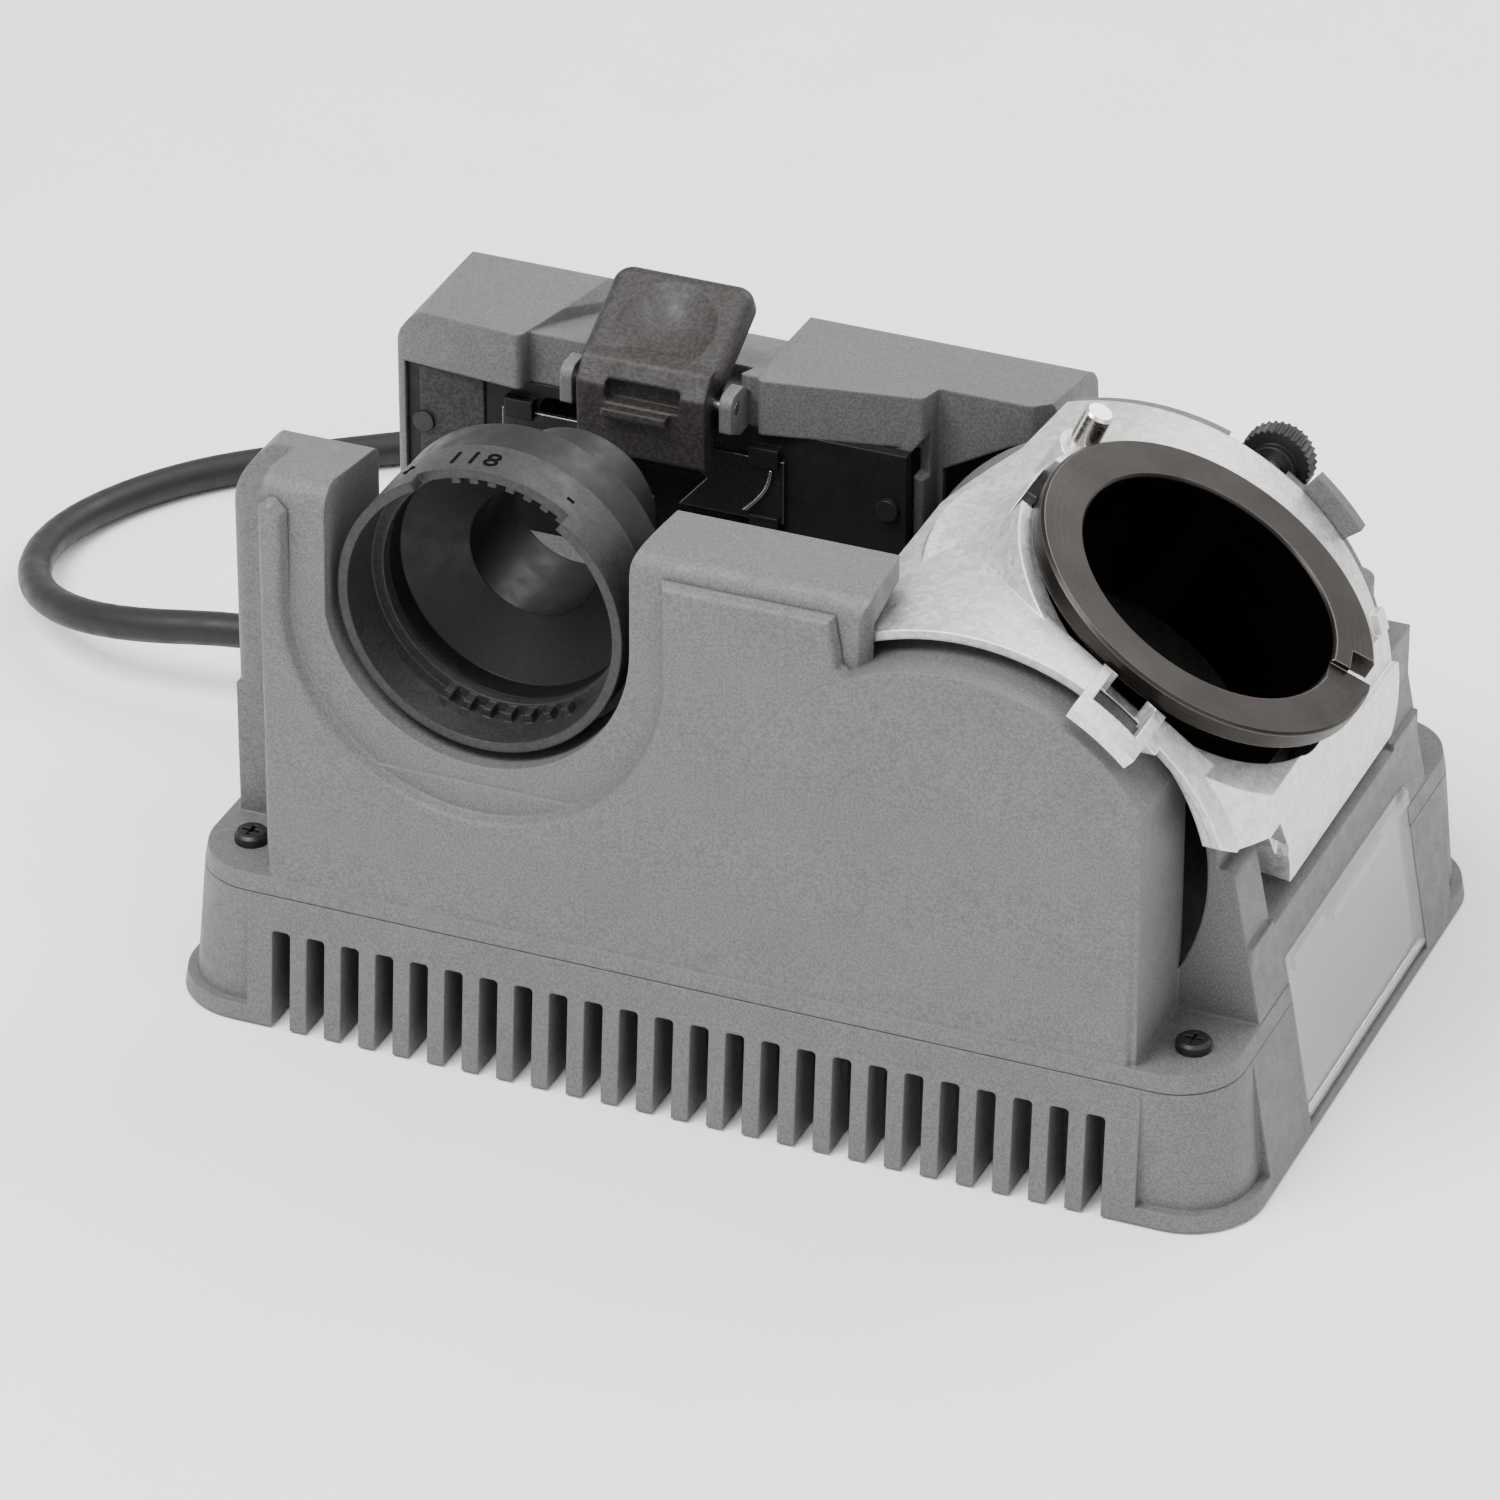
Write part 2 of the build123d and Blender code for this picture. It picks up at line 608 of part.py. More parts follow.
    # pocket in the saddle for the lever, and the two ears that carry its pin
    add(block(xz(20), -(31.5 - 20), (-77, 100), (-77, 130), (-31, 130), (-31, 100)), mode=Mode.SUBTRACT)
    add(block(xz(20), -(39 - 20), (-73.4, 118.6), (-73.4, 130), (-35.1, 130), (-35.1, 118.6)),
        mode=Mode.SUBTRACT)
    for ear_x in (lever_x0 - ear_gap - ear_t, lever_x1 + ear_gap):
        add(block(Plane.YZ.offset(ear_x), ear_t, (20.5, 114), (20.5, 123, 3), (28, 123, 3),
                  (33, 119), (33, 111.3), (26, 111.3)))
    with BuildSketch(Plane.YZ.offset(lever_x0 - 10)):
        with Locations((lever_y, lever_z)):
            Circle(lever_pin_r)
    extrude(amount=lever_x1 - lever_x0 + 20, mode=Mode.SUBTRACT)
    # pedestal under the alignment port
    with BuildSketch(xz(port_base_y0)):
        with Locations((port_x, port_z)):
            Circle(dip_r + 1)
            Circle(port_base_r, mode=Mode.SUBTRACT)
        with Locations((port_x, port_z + 16)):
            Rectangle(100, 80, mode=Mode.SUBTRACT)
    extrude(amount=-(port_base_y1 - port_base_y0))
    # clear cover: doorway above the base, shared rebate
    with BuildSketch(Plane.XZ.offset(-door_y0)):
        with BuildLine():
            Polyline(
                (end_x(parting_z) - rebate, parting_z), (end_x(parting_z) + 3, parting_z),
                (end_x(door_z1) + 3, door_z1), (end_x(door_z1) - rebate, door_z1), close=True,
            )
        make_face()
    extrude(amount=-(door_y1 - door_y0), mode=Mode.SUBTRACT)
    with BuildSketch(Plane.YZ.offset(length / 2 - 14)):
        with Locations(((door_y0 + door_y1) / 2, 38)):
            Rectangle(door_y1 - door_y0 - 6, 10)
    extrude(amount=20, mode=Mode.SUBTRACT)
    # screw holes, and the hole for the switch in the rear wall
    with BuildSketch(Plane.XY.offset(parting_z - 1)):
        with Locations(*screw_at):
            Circle(screw_r + 0.2)
    extrude(amount=10, mode=Mode.SUBTRACT)
    with BuildSketch(Plane.XY.offset(parting_z - 1)):
        with Locations(hidden_screw_at):
            Circle(screw_r + 0.2)
    extrude(amount=hidden_screw_top + 1 - parting_z, mode=Mode.SUBTRACT)
    with BuildSketch(xz(hood_back_y - 10)):
        with Locations((switch_x, switch_z)):
            Rectangle(switch_w, switch_h)
    extrude(amount=-14, mode=Mode.SUBTRACT)
save(upper_housing.part, "upper_housing")

screw_head_r = 4.0
screw_head_t = 2.6
cross_l, cross_w = 4.2, 1.0
with BuildPart() as housing_screws:
    with BuildSketch(Plane.XY.offset(12)):
        with Locations(*screw_at):
            Circle(screw_r)
    extrude(amount=deck_z - 12)
    with BuildSketch(Plane.XY.offset(deck_z)):
        with Locations(*screw_at):
            Circle(screw_head_r)
    extrude(amount=screw_head_t)
    chamfer(housing_screws.edges().group_by(Axis.Z)[-1], 0.7)
    with BuildSketch(Plane.XY.offset(deck_z + screw_head_t - 1.2)):
        with Locations(*screw_at):
            Rectangle(cross_l, cross_w)
            Rectangle(cross_w, cross_l)
    extrude(amount=4, mode=Mode.SUBTRACT)
    # the screw under the rear left foot points up
    with BuildSketch(Plane.XY.offset(hidden_head_z - screw_head_t)):
        with Locations(hidden_screw_at):
            Circle(screw_head_r)
    extrude(amount=screw_head_t)
    with BuildSketch(Plane.XY.offset(hidden_head_z)):
        with Locations(hidden_screw_at):
            Circle(screw_r)
    extrude(amount=hidden_screw_top - 2 - hidden_head_z)
save(housing_screws.part, "housing_screws")

# ---------------------------------------------------------------- alignment port
dial_back_y = port_base_y0 - 0.3
with BuildPart() as port_dial:
    with BuildSketch(xz(port_front_y)):
        with Locations((port_x, port_z)):
            Circle(port_r)
            Circle(port_bore_r, mode=Mode.SUBTRACT)
    extrude(amount=-(dial_back_y - port_front_y))
    with BuildSketch(xz(port_front_y + 13)):
        with Locations((port_x, port_z)):
            Circle(port_bore_r + 0.5)
            Circle(port_lip_r, mode=Mode.SUBTRACT)
    extrude(amount=-(dial_back_y - port_front_y - 13))
    # the top of the rim stands back by four millimetres
    with BuildSketch(xz(port_front_y - 1)):
        with BuildLine():
            Polyline(
                (port_x, port_z),
                (port_x + 60 * cos(radians(118)), port_z + 60 * sin(radians(118))),
                (port_x, port_z + 80),
                (port_x + 60 * cos(radians(54)), port_z + 60 * sin(radians(54))),
                close=True,
            )
        make_face()
    extrude(amount=-5, mode=Mode.SUBTRACT)
    # detent teeth: seven inside the top of the rim, seven on the lip below
    with BuildSketch(xz(port_front_y + 4.5)):
        with Locations((port_x, port_z)):
            with PolarLocations(port_bore_r - 0.2, 7, 55, 48, endpoint=True):
                Rectangle(2.6, 2.0)
    extrude(amount=-6)
    with BuildSketch(xz(port_front_y + 9.5)):
        with Locations((port_x, port_z)):
            with PolarLocations(port_bore_r - 0.9, 7, -114, 56, endpoint=True):
                Rectangle(2.4, 2.0)
    extrude(amount=-4)
save(port_dial.part, "port_dial")

drum_back_y = -20.0
drum_bore_r = 15.5
with BuildPart() as port_body:
    with BuildSketch(Plane.XY):
        with BuildLine():
            Polyline(
                (drum_bore_r, port_base_y0), (port_base_r, port_base_y0), (port_base_r, port_base_y1),
                (drum_r, port_base_y1 + 10), (drum_r, drum_back_y), (drum_bore_r, drum_back_y),
                close=True,
            )
        make_face()
    revolve(axis=Axis.Y)
    # bore opens out towards the dial
    with BuildSketch(Plane.XY):
        with BuildLine():
            Polyline(
                (0, port_base_y0 - 1), (port_lip_r, port_base_y0 - 1), (port_lip_r, port_base_y0 + 6),
                (drum_bore_r, port_base_y0 + 14), (0, port_base_y0 + 14), close=True,
            )
        make_face()
    revolve(axis=Axis.Y, mode=Mode.SUBTRACT)
port_body_placed = port_body.part.moved(Location((port_x, 0, port_z)))
save(port_body_placed, "port_body")

# ---------------------------------------------------------------- alignment frame and pawls
window_x0, window_x1 = -85.0, -33.0
frame_z0, frame_z1 = valley_z, hood_lip_z
pawl_t = 1.2
pawl_y0 = frame_front_y - 0.1 - pawl_t
pawl_z0, pawl_z1 = 88.0, 104.0
pawl_gap = 1.0
guide_w, guide_h = 7.0, 3.1
frame_screw_at = [(-114, 96), (-114, 79), (1.3, 97), (1.3, 79)]
with BuildPart() as alignment_frame:
    add(block(
        xz(frame_front_y), -(frame_back_y - frame_front_y),
        (frame_x0 - 0.5, frame_z0), (frame_x0 - 0.5, frame_z1), (frame_x1, frame_z1),
        (frame_x1, frame_z0),
    ))
    add(block(
        xz(frame_front_y - 1), -6,
        (window_x0, 78, 3), (window_x0, 108, 3), (window_x1, 108, 3), (window_x1, 78, 3),
    ), mode=Mode.SUBTRACT)
    # guides that hold the two pawls against the panel
    for guide_x in (window_x0 - 4.5, window_x1 + 4.5):
        # a step off the panel above and below the pawl, and a lip over its edge
        with BuildSketch(xz(pawl_y0 - 1.3)):
            with Locations((guide_x, pawl_z0 - 1.65), (guide_x, pawl_z1 + 1.65)):
                Rectangle(guide_w, guide_h)
        extrude(amount=-(frame_front_y - pawl_y0 + 1.3))
        with BuildSketch(xz(pawl_y0 - 1.3)):
            with Locations((guide_x, pawl_z0), (guide_x, pawl_z1)):
                Rectangle(guide_w, guide_h)
        extrude(amount=-1.2)
    with BuildSketch(xz(frame_front_y - 1)):
        with Locations(*frame_screw_at):
            Circle(1.5)
    extrude(amount=-6, mode=Mode.SUBTRACT)
save(alignment_frame.part, "alignment_frame")

with BuildPart() as frame_screws:
    with BuildSketch(xz(frame_front_y)):
        with Locations(*frame_screw_at):
            Circle(1.5)
    extrude(amount=-7)
    with BuildSketch(xz(frame_front_y - 1.6)):
        with Locations(*frame_screw_at):
            Circle(2.6)
    extrude(amount=-1.6)
save(frame_screws.part, "frame_screws")

# V-shaped sheet-steel pawls that close on the drill from both sides
mid_z = (pawl_z0 + pawl_z1) / 2
for pawl_name, side, edge_x in (("pawl_left", -1, window_x0 - 9), ("pawl_right", 1, window_x1 + 9)):
    near_x = port_x + side * pawl_gap
    with BuildPart() as pawl:
        add(block(
            xz(pawl_y0), -pawl_t,
            (edge_x, pawl_z0), (edge_x, pawl_z1), (near_x + side * 2, pawl_z1),
            (near_x + side * 9, mid_z), (near_x + side * 2, pawl_z0),
        ))
    save(pawl.part, pawl_name)

# ---------------------------------------------------------------- alignment lever
lever_w = lever_x1 - lever_x0
paddle_w, paddle_l, paddle_t = lever_w + 3.0, 28.0, 7.5
paddle_slope = 28.4
dish_r, dish_depth = 30.0, 2.6
paddle_plane = Plane(
    origin=((lever_x0 + lever_x1) / 2, 33.4, 132.4),
    x_dir=(1, 0, 0),
    z_dir=(0, -sin(radians(paddle_slope)), cos(radians(paddle_slope))),
)
with BuildPart() as paddle:
    with BuildSketch(paddle_plane.offset(-paddle_t)):
        RectangleRounded(paddle_w, paddle_l, 4.5)
    extrude(amount=paddle_t)
    fillet(paddle.faces().sort_by(Axis.Z)[-1].edges(), 2.6)
    # thumb dish
    with Locations(paddle_plane.location * Location((0, -1.5, dish_r - dish_depth))):
        Sphere(dish_r, mode=Mode.SUBTRACT)

stem_foot_z = 104.0
with BuildPart() as alignment_lever:
    # stem with its hub on the pin
    add(block(
        Plane.YZ.offset(lever_x0), lever_w,
        (18, stem_foot_z, 1.5), (17.5, 122, 1), (21.5, 127.5, 2), (30, 128, 3), (28, 116, 3),
        (23.5, 112), (22, stem_foot_z, 1.5),
    ))
    add(paddle.part)
    # recess in the stem and the ledge below it
    add(block(
        xz(16), -5, (-63, 118, 1), (-63, 123.5, 1), (-44.5, 123.5, 1), (-44.5, 118, 1),
    ), mode=Mode.SUBTRACT)
    add(block(xz(14.8), -4, (-63, 115.5), (-63, 117.6), (-47, 117.6), (-47, 115.5)))
    with BuildSketch(Plane.YZ.offset(lever_x0 - 5)):
        with Locations((lever_y, lever_z)):
            Circle(lever_pin_r + 0.05)
    extrude(amount=lever_w + 10, mode=Mode.SUBTRACT)
    # clearance in the hub for the spring
    with BuildSketch(Plane.YZ.offset(lever_x1 - 5)):
        with Locations((lever_y, lever_z)):
            Circle(4.6)
    extrude(amount=3.2, mode=Mode.SUBTRACT)
save(alignment_lever.part, "alignment_lever")

with BuildPart() as lever_pin:
    with BuildSketch(Plane.YZ.offset(lever_x0 - ear_gap - ear_t)):
        with Locations((lever_y, lever_z)):
            Circle(lever_pin_r)
    extrude(amount=lever_w + 2 * (ear_gap + ear_t))
save(lever_pin.part, "lever_pin")

with BuildPart() as lever_spring:
    with BuildSketch(Plane.YZ.offset(lever_x1 - 4.7)):
        with Locations((lever_y, lever_z)):
            Circle(3.6)
            Circle(2.2, mode=Mode.SUBTRACT)
    extrude(amount=2.6)
save(lever_spring.part, "lever_spring")

# ---------------------------------------------------------------- carriage
stud_angle = 58.4
stud_hole_r = 2.5
rear_lug_y0 = 35.5
leg_outer_r = 62.3
ring_gap = 0.9
socket_drop = 5.6         # socket rim below the ring face, at the high end
socket_tilt = 0.094       # extra drop per mm towards the low end, so the ring can be pressed in
socket_r = 44.6
socket_bore_r = 40.0
rock_u = -38.0            # rocking axis, from the tube axis up the slope
rock_w = -8.2             # and from the ring face into the tube
rock_pin_l = 35.0
pin_r = 1.5
boss_u, boss_v = -39.4, 24.0
pin_lean = 7.0            # the follower pin leans back from the tube axis
follower_r = 3.4


def tube_block(depth0, depth1, *corners):
    """Prism along the tube axis between two depths from the ring face, outline (u, v)."""
    return block(tube_plane.offset(depth0), depth1 - depth0, *corners)


# everything on the ring's side of the sloping socket rim
rim_reach = 70.0
rim_high = -socket_drop + (rim_reach - ring_r) * socket_tilt
rim_low = -socket_drop - (rim_reach + ring_r) * socket_tilt
rim_plane = Plane(origin=tube_face + Vector(0, -80, 0), x_dir=tube_down, z_dir=(0, -1, 0))
above_rim = block(
    rim_plane, -160,
    (-rim_reach, rim_high), (rim_reach, rim_low), (rim_reach, 20), (-rim_reach, 20),
)

with BuildPart() as ring_room:
    with BuildSketch(tube_plane.offset(-24)):
        Circle(ring_r + ring_gap)
    extrude(amount=44)
    add(above_rim, mode=Mode.INTERSECT)

# coved wall round the tube: steep up the slope, a wide cone down the slope
cove_foot_r, cove_foot_w = 56.0, -28.0
with BuildPart() as socket:
    with BuildSketch(Plane(origin=tube_face, x_dir=tube_down, z_dir=(0, -1, 0))):
        with BuildLine():
            Line((0, cove_foot_w - 2), (cove_foot_r, cove_foot_w - 2))
            Line((cove_foot_r, cove_foot_w - 2), (cove_foot_r, cove_foot_w))
            ThreePointArc((cove_foot_r, cove_foot_w), (49.0, -21.5), (socket_r + 0.8, -12))
            Line((socket_r + 0.8, -12), (socket_r, -socket_drop))
            Line((socket_r, -socket_drop), (0, -socket_drop))
            Line((0, -socket_drop), (0, cove_foot_w - 2))
        make_face()
    revolve(axis=Axis(tube_face, tube_dir))
with BuildPart() as socket_low:
    with BuildSketch(tube_plane.offset(-26)):
        Circle(55)
    with BuildSketch(tube_plane.offset(-socket_drop)):
        Circle(socket_r)
    loft()
    add(tube_block(-40, 0, (0, -60), (70, -60), (70, 60), (0, 60)), mode=Mode.INTERSECT)
with BuildPart() as socket_wall:
    add(socket.part)
    add(socket_low.part)
    add(above_rim, mode=Mode.SUBTRACT)
    # nothing of it reaches past the saddle at the low end or inside the dome
    add(block(xz(-90), -180, (20, 60), (20, 170), (122.3, 170), (122.3, 60)), mode=Mode.INTERSECT)
    add(ring_sector(carriage_front_y - 1.5, carriage_back_y, carriage_in_r, 95, -6, 130),
        mode=Mode.INTERSECT)

boss_r = 6.5
boss_top_w = -8.6         # top of the boss, below the ring face
with BuildPart() as pin_boss:
    with BuildSketch(tube_plane.offset(-24)):
        with Locations((boss_u, boss_v)):
            Circle(boss_r)
    extrude(amount=24 + boss_top_w)
    add(ring_sector(-30, 30, 30, carriage_in_r + 1.2, 60, 140), mode=Mode.SUBTRACT)

# outlines cut away from the saddle: seen from above at the rear, from the right at the front
rear_cut = [(20, -4), (27.7, -4), (38.7, 16), (41.2, 41), (20, 41)]
front_leg_cut = [
    (-95, 112), (-68.9, 112), (-67.5, 105.1), (-66.2, 97.7), (-64.9, 87.3), (-57.5, 82.8),
    (-42.7, 83.2), (-33.8, 69.1), (-28, 58), (-28, 40), (-95, 40),
]
front_lip_t = 2.2
with BuildPart() as carriage:
    add(ring_sector(carriage_front_y - 1.5, carriage_back_y, carriage_in_r, carriage_out_r, -12, 122.5))
    add(ring_sector(-34, carriage_back_y, carriage_out_r - 2, leg_outer_r, -12, 6))
    add(ring_sector(-34, carriage_back_y, carriage_out_r - 2, carriage_out_r + 1.6, 5, 14))
    # frame of the window on the point-angle scale, standing out in front
    add(ring_sector(front_y + 1.0, -57, carriage_in_r, carriage_out_r + 0.8, 45, 61.8))
    # stop at the rear right
    add(ring_sector(35, carriage_back_y, carriage_out_r - 1, 61.2, 14, 19))
    add(socket_wall.part)
    add(block(Plane.XY.offset(100), 60, *rear_cut), mode=Mode.SUBTRACT)
    add(block(Plane.YZ.offset(98), 40, *front_leg_cut), mode=Mode.SUBTRACT)
    # the front edge is thin and stands off the dome
    add(ring_sector(front_y - 1, -63, 50, carriage_out_r - front_lip_t, 2, 130), mode=Mode.SUBTRACT)
    add(ring_sector(-74.4, -61.8, 45, 70, 47.6, 59.4), mode=Mode.SUBTRACT)
    add(pin_boss.part)
    # room for the ring, also when it is pressed in
    add(ring_room.part, mode=Mode.SUBTRACT)
    # bore for the tube
    with BuildSketch(tube_plane.offset(-50)):
        Circle(socket_bore_r)
    extrude(amount=70, mode=Mode.SUBTRACT)
    # pocket for the rocking lug, and its pin hole
    add(tube_block(-17, 5, (-44, -10), (-30, -10), (-30, 10), (-44, 10)), mode=Mode.SUBTRACT)
    # rear lug that carries the clamp stud
    add(ring_sector(rear_lug_y0, carriage_back_y, 48, carriage_out_r, 45, 76))
    with BuildSketch(xz(rear_lug_y0 - 1)):
        with Locations(point(stud_r, stud_angle)):
            Circle(stud_hole_r)
    extrude(amount=-8, mode=Mode.SUBTRACT)

rock_at = tube_face + tube_down * rock_u + tube_dir * rock_w
follower_dir = tube_dir.rotate(Axis((0, 0, 0), (0, -1, 0)), pin_lean)
follower_base = tube_face + tube_down * boss_u + Vector(0, boss_v, 0) - tube_dir * 19
rock_plane = Plane(origin=rock_at + Vector(0, -rock_pin_l / 2, 0), x_dir=tube_down, z_dir=(0, 1, 0))
follower_plane = Plane(origin=follower_base, x_dir=(0, 1, 0), z_dir=follower_dir)
with BuildPart() as carriage_drilled:
    add(carriage.part)
    with BuildSketch(rock_plane):
        Circle(pin_r)
    extrude(amount=rock_pin_l, mode=Mode.SUBTRACT)
    with BuildSketch(follower_plane):
        Circle(follower_r)
    extrude(amount=30, mode=Mode.SUBTRACT)
save(carriage_drilled.part, "carriage")

with BuildPart() as follower_pin:
    with BuildSketch(follower_plane):
        Circle(follower_r)
    extrude(amount=21.3)
    chamfer(follower_pin.edges().sort_by(Axis.Z)[-1], 0.6)
save(follower_pin.part, "follower_pin")

with BuildPart() as clamp_stud:
    with BuildSketch(xz(rear_lug_y0)):
        with Locations(point(stud_r, stud_angle)):
            Circle(stud_hole_r)
    extrude(amount=-13)
save(clamp_stud.part, "clamp_stud")

knob_r = 8.5
with BuildPart() as clamp_knob:
    with BuildSketch(xz(back_wall_y1 + 0.2)):
        with Locations(point(stud_r, stud_angle)):
            Circle(5.2)
            Circle(stud_hole_r + 0.05, mode=Mode.SUBTRACT)
    extrude(amount=-2)
    with BuildSketch(xz(back_wall_y1 + 2.2)):
        with Locations(point(stud_r, stud_angle)):
            Circle(knob_r - 0.5)
            Circle(stud_hole_r + 0.05, mode=Mode.SUBTRACT)
            with PolarLocations(knob_r - 0.5, 32):
                Rectangle(0.9, 0.9, rotation=45)
    extrude(amount=-5)
    with BuildSketch(xz(back_wall_y1 + 7.2)):
        with Locations(point(stud_r, stud_angle)):
            Circle(knob_r - 1.4)
    extrude(amount=-1.6)
save(clamp_knob.part, "clamp_knob")

# ---------------------------------------------------------------- sharpening tube
notch_plane = tube_plane.rotated((0, 0, 19.5))
with BuildPart() as sharpening_tube:
    with BuildSketch(tube_plane.offset(-ring_t)):
        Circle(ring_r)
    extrude(amount=ring_t)
    with BuildSketch(tube_plane.offset(-ring_t - tube_len)):
        Circle(tube_r)
    extrude(amount=tube_len)
    with BuildSketch(tube_plane.offset(-ring_t - tube_len - 1)):
        Circle(tube_bore_r)
    extrude(amount=ring_t + tube_len + 2, mode=Mode.SUBTRACT)
    chamfer(sharpening_tube.faces().sort_by(Axis(tube_face, tube_dir))[-1].edges(), 0.7)
    # notch through the rim at the low end, with a shallow step beside it
    add(block(notch_plane.offset(-ring_t - 1), 8, (36.0, -3), (36.0, 3), (50, 3), (50, -3)),
        mode=Mode.SUBTRACT)
    add(block(notch_plane.offset(-0.9), 4, (26, -14), (26, -3), (50, -3), (50, -20)),
        mode=Mode.SUBTRACT)
    # lug for the rocking pin
    add(tube_block(-13.5, -ring_t, (-41.2, -6, 1), (-33.5, -6), (-33.5, 6), (-41.2, 6, 1)))
    with BuildSketch(tube_plane.offset(-ring_t - tube_len - 1)):
        Circle(tube_bore_r)
    extrude(amount=ring_t + tube_len + 2, mode=Mode.SUBTRACT)
    with BuildSketch(rock_plane):
        Circle(pin_r + 0.05)
    extrude(amount=rock_pin_l, mode=Mode.SUBTRACT)
save(sharpening_tube.part, "sharpening_tube")

with BuildPart() as rock_pin:
    with BuildSketch(rock_plane):
        Circle(pin_r)
    extrude(amount=rock_pin_l)
save(rock_pin.part, "rock_pin")

with BuildPart() as rock_spring:
    with BuildSketch(rock_plane.offset(rock_pin_l / 2 + 6.4)):
        Circle(3.0)
        Circle(2.0, mode=Mode.SUBTRACT)
    extrude(amount=3)
save(rock_spring.part, "rock_spring")

# ---------------------------------------------------------------- motor and grinding wheel
cradle_y0, cradle_y1 = wheel_y - 16, wheel_y + 16
floor_z = flange_z + floor_t
bearing_r = 8.0
bearing_w = 5.0


def turned(*profile):
    """Solid of revolution about the motor axis; each profile point is (x, radius)."""
    with BuildPart() as solid:
        with BuildSketch(Plane.XZ):
            with BuildLine():
                Polyline(*profile, close=True)
            make_face()
        revolve(axis=Axis.X)
    return solid.part.moved(Location((0, wheel_y, wheel_z)))


with BuildPart() as motor_can:
    add(turned(
        (motor_x0, bearing_r), (motor_x0, motor_r), (motor_x1, motor_r), (motor_x1, bearing_r),
        (motor_x1 - bearing_w, bearing_r), (motor_x1 - bearing_w, motor_r - 2.5),
        (motor_x0 + bearing_w, motor_r - 2.5), (motor_x0 + bearing_w, bearing_r),
    ))
    for vent_x in (motor_x0 + 12, motor_x1 - 12):
        with BuildSketch(Plane.XY.offset(wheel_z + 10)):
            with Locations((vent_x, wheel_y - 7), (vent_x, wheel_y + 7)):
                SlotOverall(12, 3.5)
        extrude(amount=14, mode=Mode.SUBTRACT)
save(motor_can.part, "motor_can")

with BuildPart() as bearings:
    for bearing_x in (motor_x0, motor_x1 - bearing_w):
        add(turned(
            (bearing_x, shaft_r + 0.05), (bearing_x, bearing_r),
            (bearing_x + bearing_w, bearing_r), (bearing_x + bearing_w, shaft_r + 0.05),
        ))
save(bearings.part, "bearings")

rotor_r = 14.0
with BuildPart() as rotor:
    add(turned(
        (-41, 0), (-41, shaft_r), (-17, shaft_r), (-17, rotor_r), (15, rotor_r), (15, shaft_r),
        (82, shaft_r), (82, 0),
    ))
save(rotor.part, "rotor")

fan_x = -38.0
fan_w = 8.0
with BuildPart() as cooling_fan:
    add(turned((fan_x, shaft_r), (fan_x, 7), (fan_x + fan_w, 7), (fan_x + fan_w, shaft_r)))
    with BuildSketch(Plane.YZ.offset(fan_x + 1)):
        with Locations((wheel_y, wheel_z)):
            with PolarLocations(13, 9):
                Rectangle(14, 1.6, rotation=12)
    extrude(amount=fan_w - 2)
save(cooling_fan.part, "cooling_fan")

with BuildPart() as grinding_wheel:
    add(turned(
        (wheel_x0, shaft_r), (wheel_x0, 9), (wheel_x0 + 4, 12), (wheel_x0 + 4, wheel_r),
        (wheel_x1, wheel_r), (wheel_x1, 12), (wheel_x1 - 4, 9), (wheel_x1 - 4, shaft_r),
    ))
save(grinding_wheel.part, "grinding_wheel")

nut_x = wheel_x1 - 4
with BuildPart() as wheel_nut:
    with BuildSketch(Plane.YZ.offset(nut_x)):
        with Locations((wheel_y, wheel_z)):
            RegularPolygon(6, 6)
            Circle(shaft_r, mode=Mode.SUBTRACT)
    extrude(amount=5)
save(wheel_nut.part, "wheel_nut")

cradle_x0, cradle_x1 = -20.0, 18.0
with BuildPart() as motor_cradle:
    add(block(
        Plane.YZ.offset(cradle_x0), cradle_x1 - cradle_x0,
        (cradle_y0 - 10, floor_z), (cradle_y0 - 10, floor_z + 4), (cradle_y0, floor_z + 4, 2),
        (cradle_y0, wheel_z - 12), (cradle_y1, wheel_z - 12), (cradle_y1, floor_z + 4, 2),
        (cradle_y1 + 10, floor_z + 4), (cradle_y1 + 10, floor_z),
    ))
    with BuildSketch(Plane.YZ.offset(cradle_x0 - 1)):
        with Locations((wheel_y, wheel_z)):
            Circle(motor_r)
    extrude(amount=cradle_x1 - cradle_x0 + 2, mode=Mode.SUBTRACT)
save(motor_cradle.part, "motor_cradle")

strap_x0, strap_x1 = -6.0, 4.0
strap_t = 1.2
with BuildPart() as motor_strap:
    with BuildSketch(Plane.YZ.offset(strap_x0)):
        with Locations((wheel_y, wheel_z)):
            Circle(motor_r + strap_t)
            Circle(motor_r, mode=Mode.SUBTRACT)
        with Locations((wheel_y, wheel_z - 40)):
            Rectangle(80, 66, mode=Mode.SUBTRACT)
    extrude(amount=strap_x1 - strap_x0)
save(motor_strap.part, "motor_strap")

screw_places = [(x, y) for x in (cradle_x0 + 5, cradle_x1 - 5) for y in (cradle_y0 - 6, cradle_y1 + 6)]
with BuildPart() as motor_screws:
    with BuildSketch(Plane.XY.offset(floor_z + 4)):
        with Locations(*screw_places):
            Circle(3.4)
    extrude(amount=2.2)
save(motor_screws.part, "motor_screws")

# ---------------------------------------------------------------- circuit board and switch
board_t = 1.6
with BuildPart() as circuit_board:
    with BuildSketch(Plane.XY.offset(board_z)):
        with Locations((board_x, board_y)):
            RectangleRounded(board_l, board_w, 2)
    extrude(amount=board_t)
    with BuildSketch(Plane.XY.offset(board_z + board_t)):
        with Locations((board_x - 8, board_y + 14)):
            Circle(7)
        with Locations((board_x + 10, board_y + 12)):
            Rectangle(14, 18)
    extrude(amount=16)
    with BuildSketch(Plane.XY.offset(board_z + board_t)):
        with Locations((board_x, board_y - 14)):
            Rectangle(26, 10)
    extrude(amount=9)
save(circuit_board.part, "circuit_board")

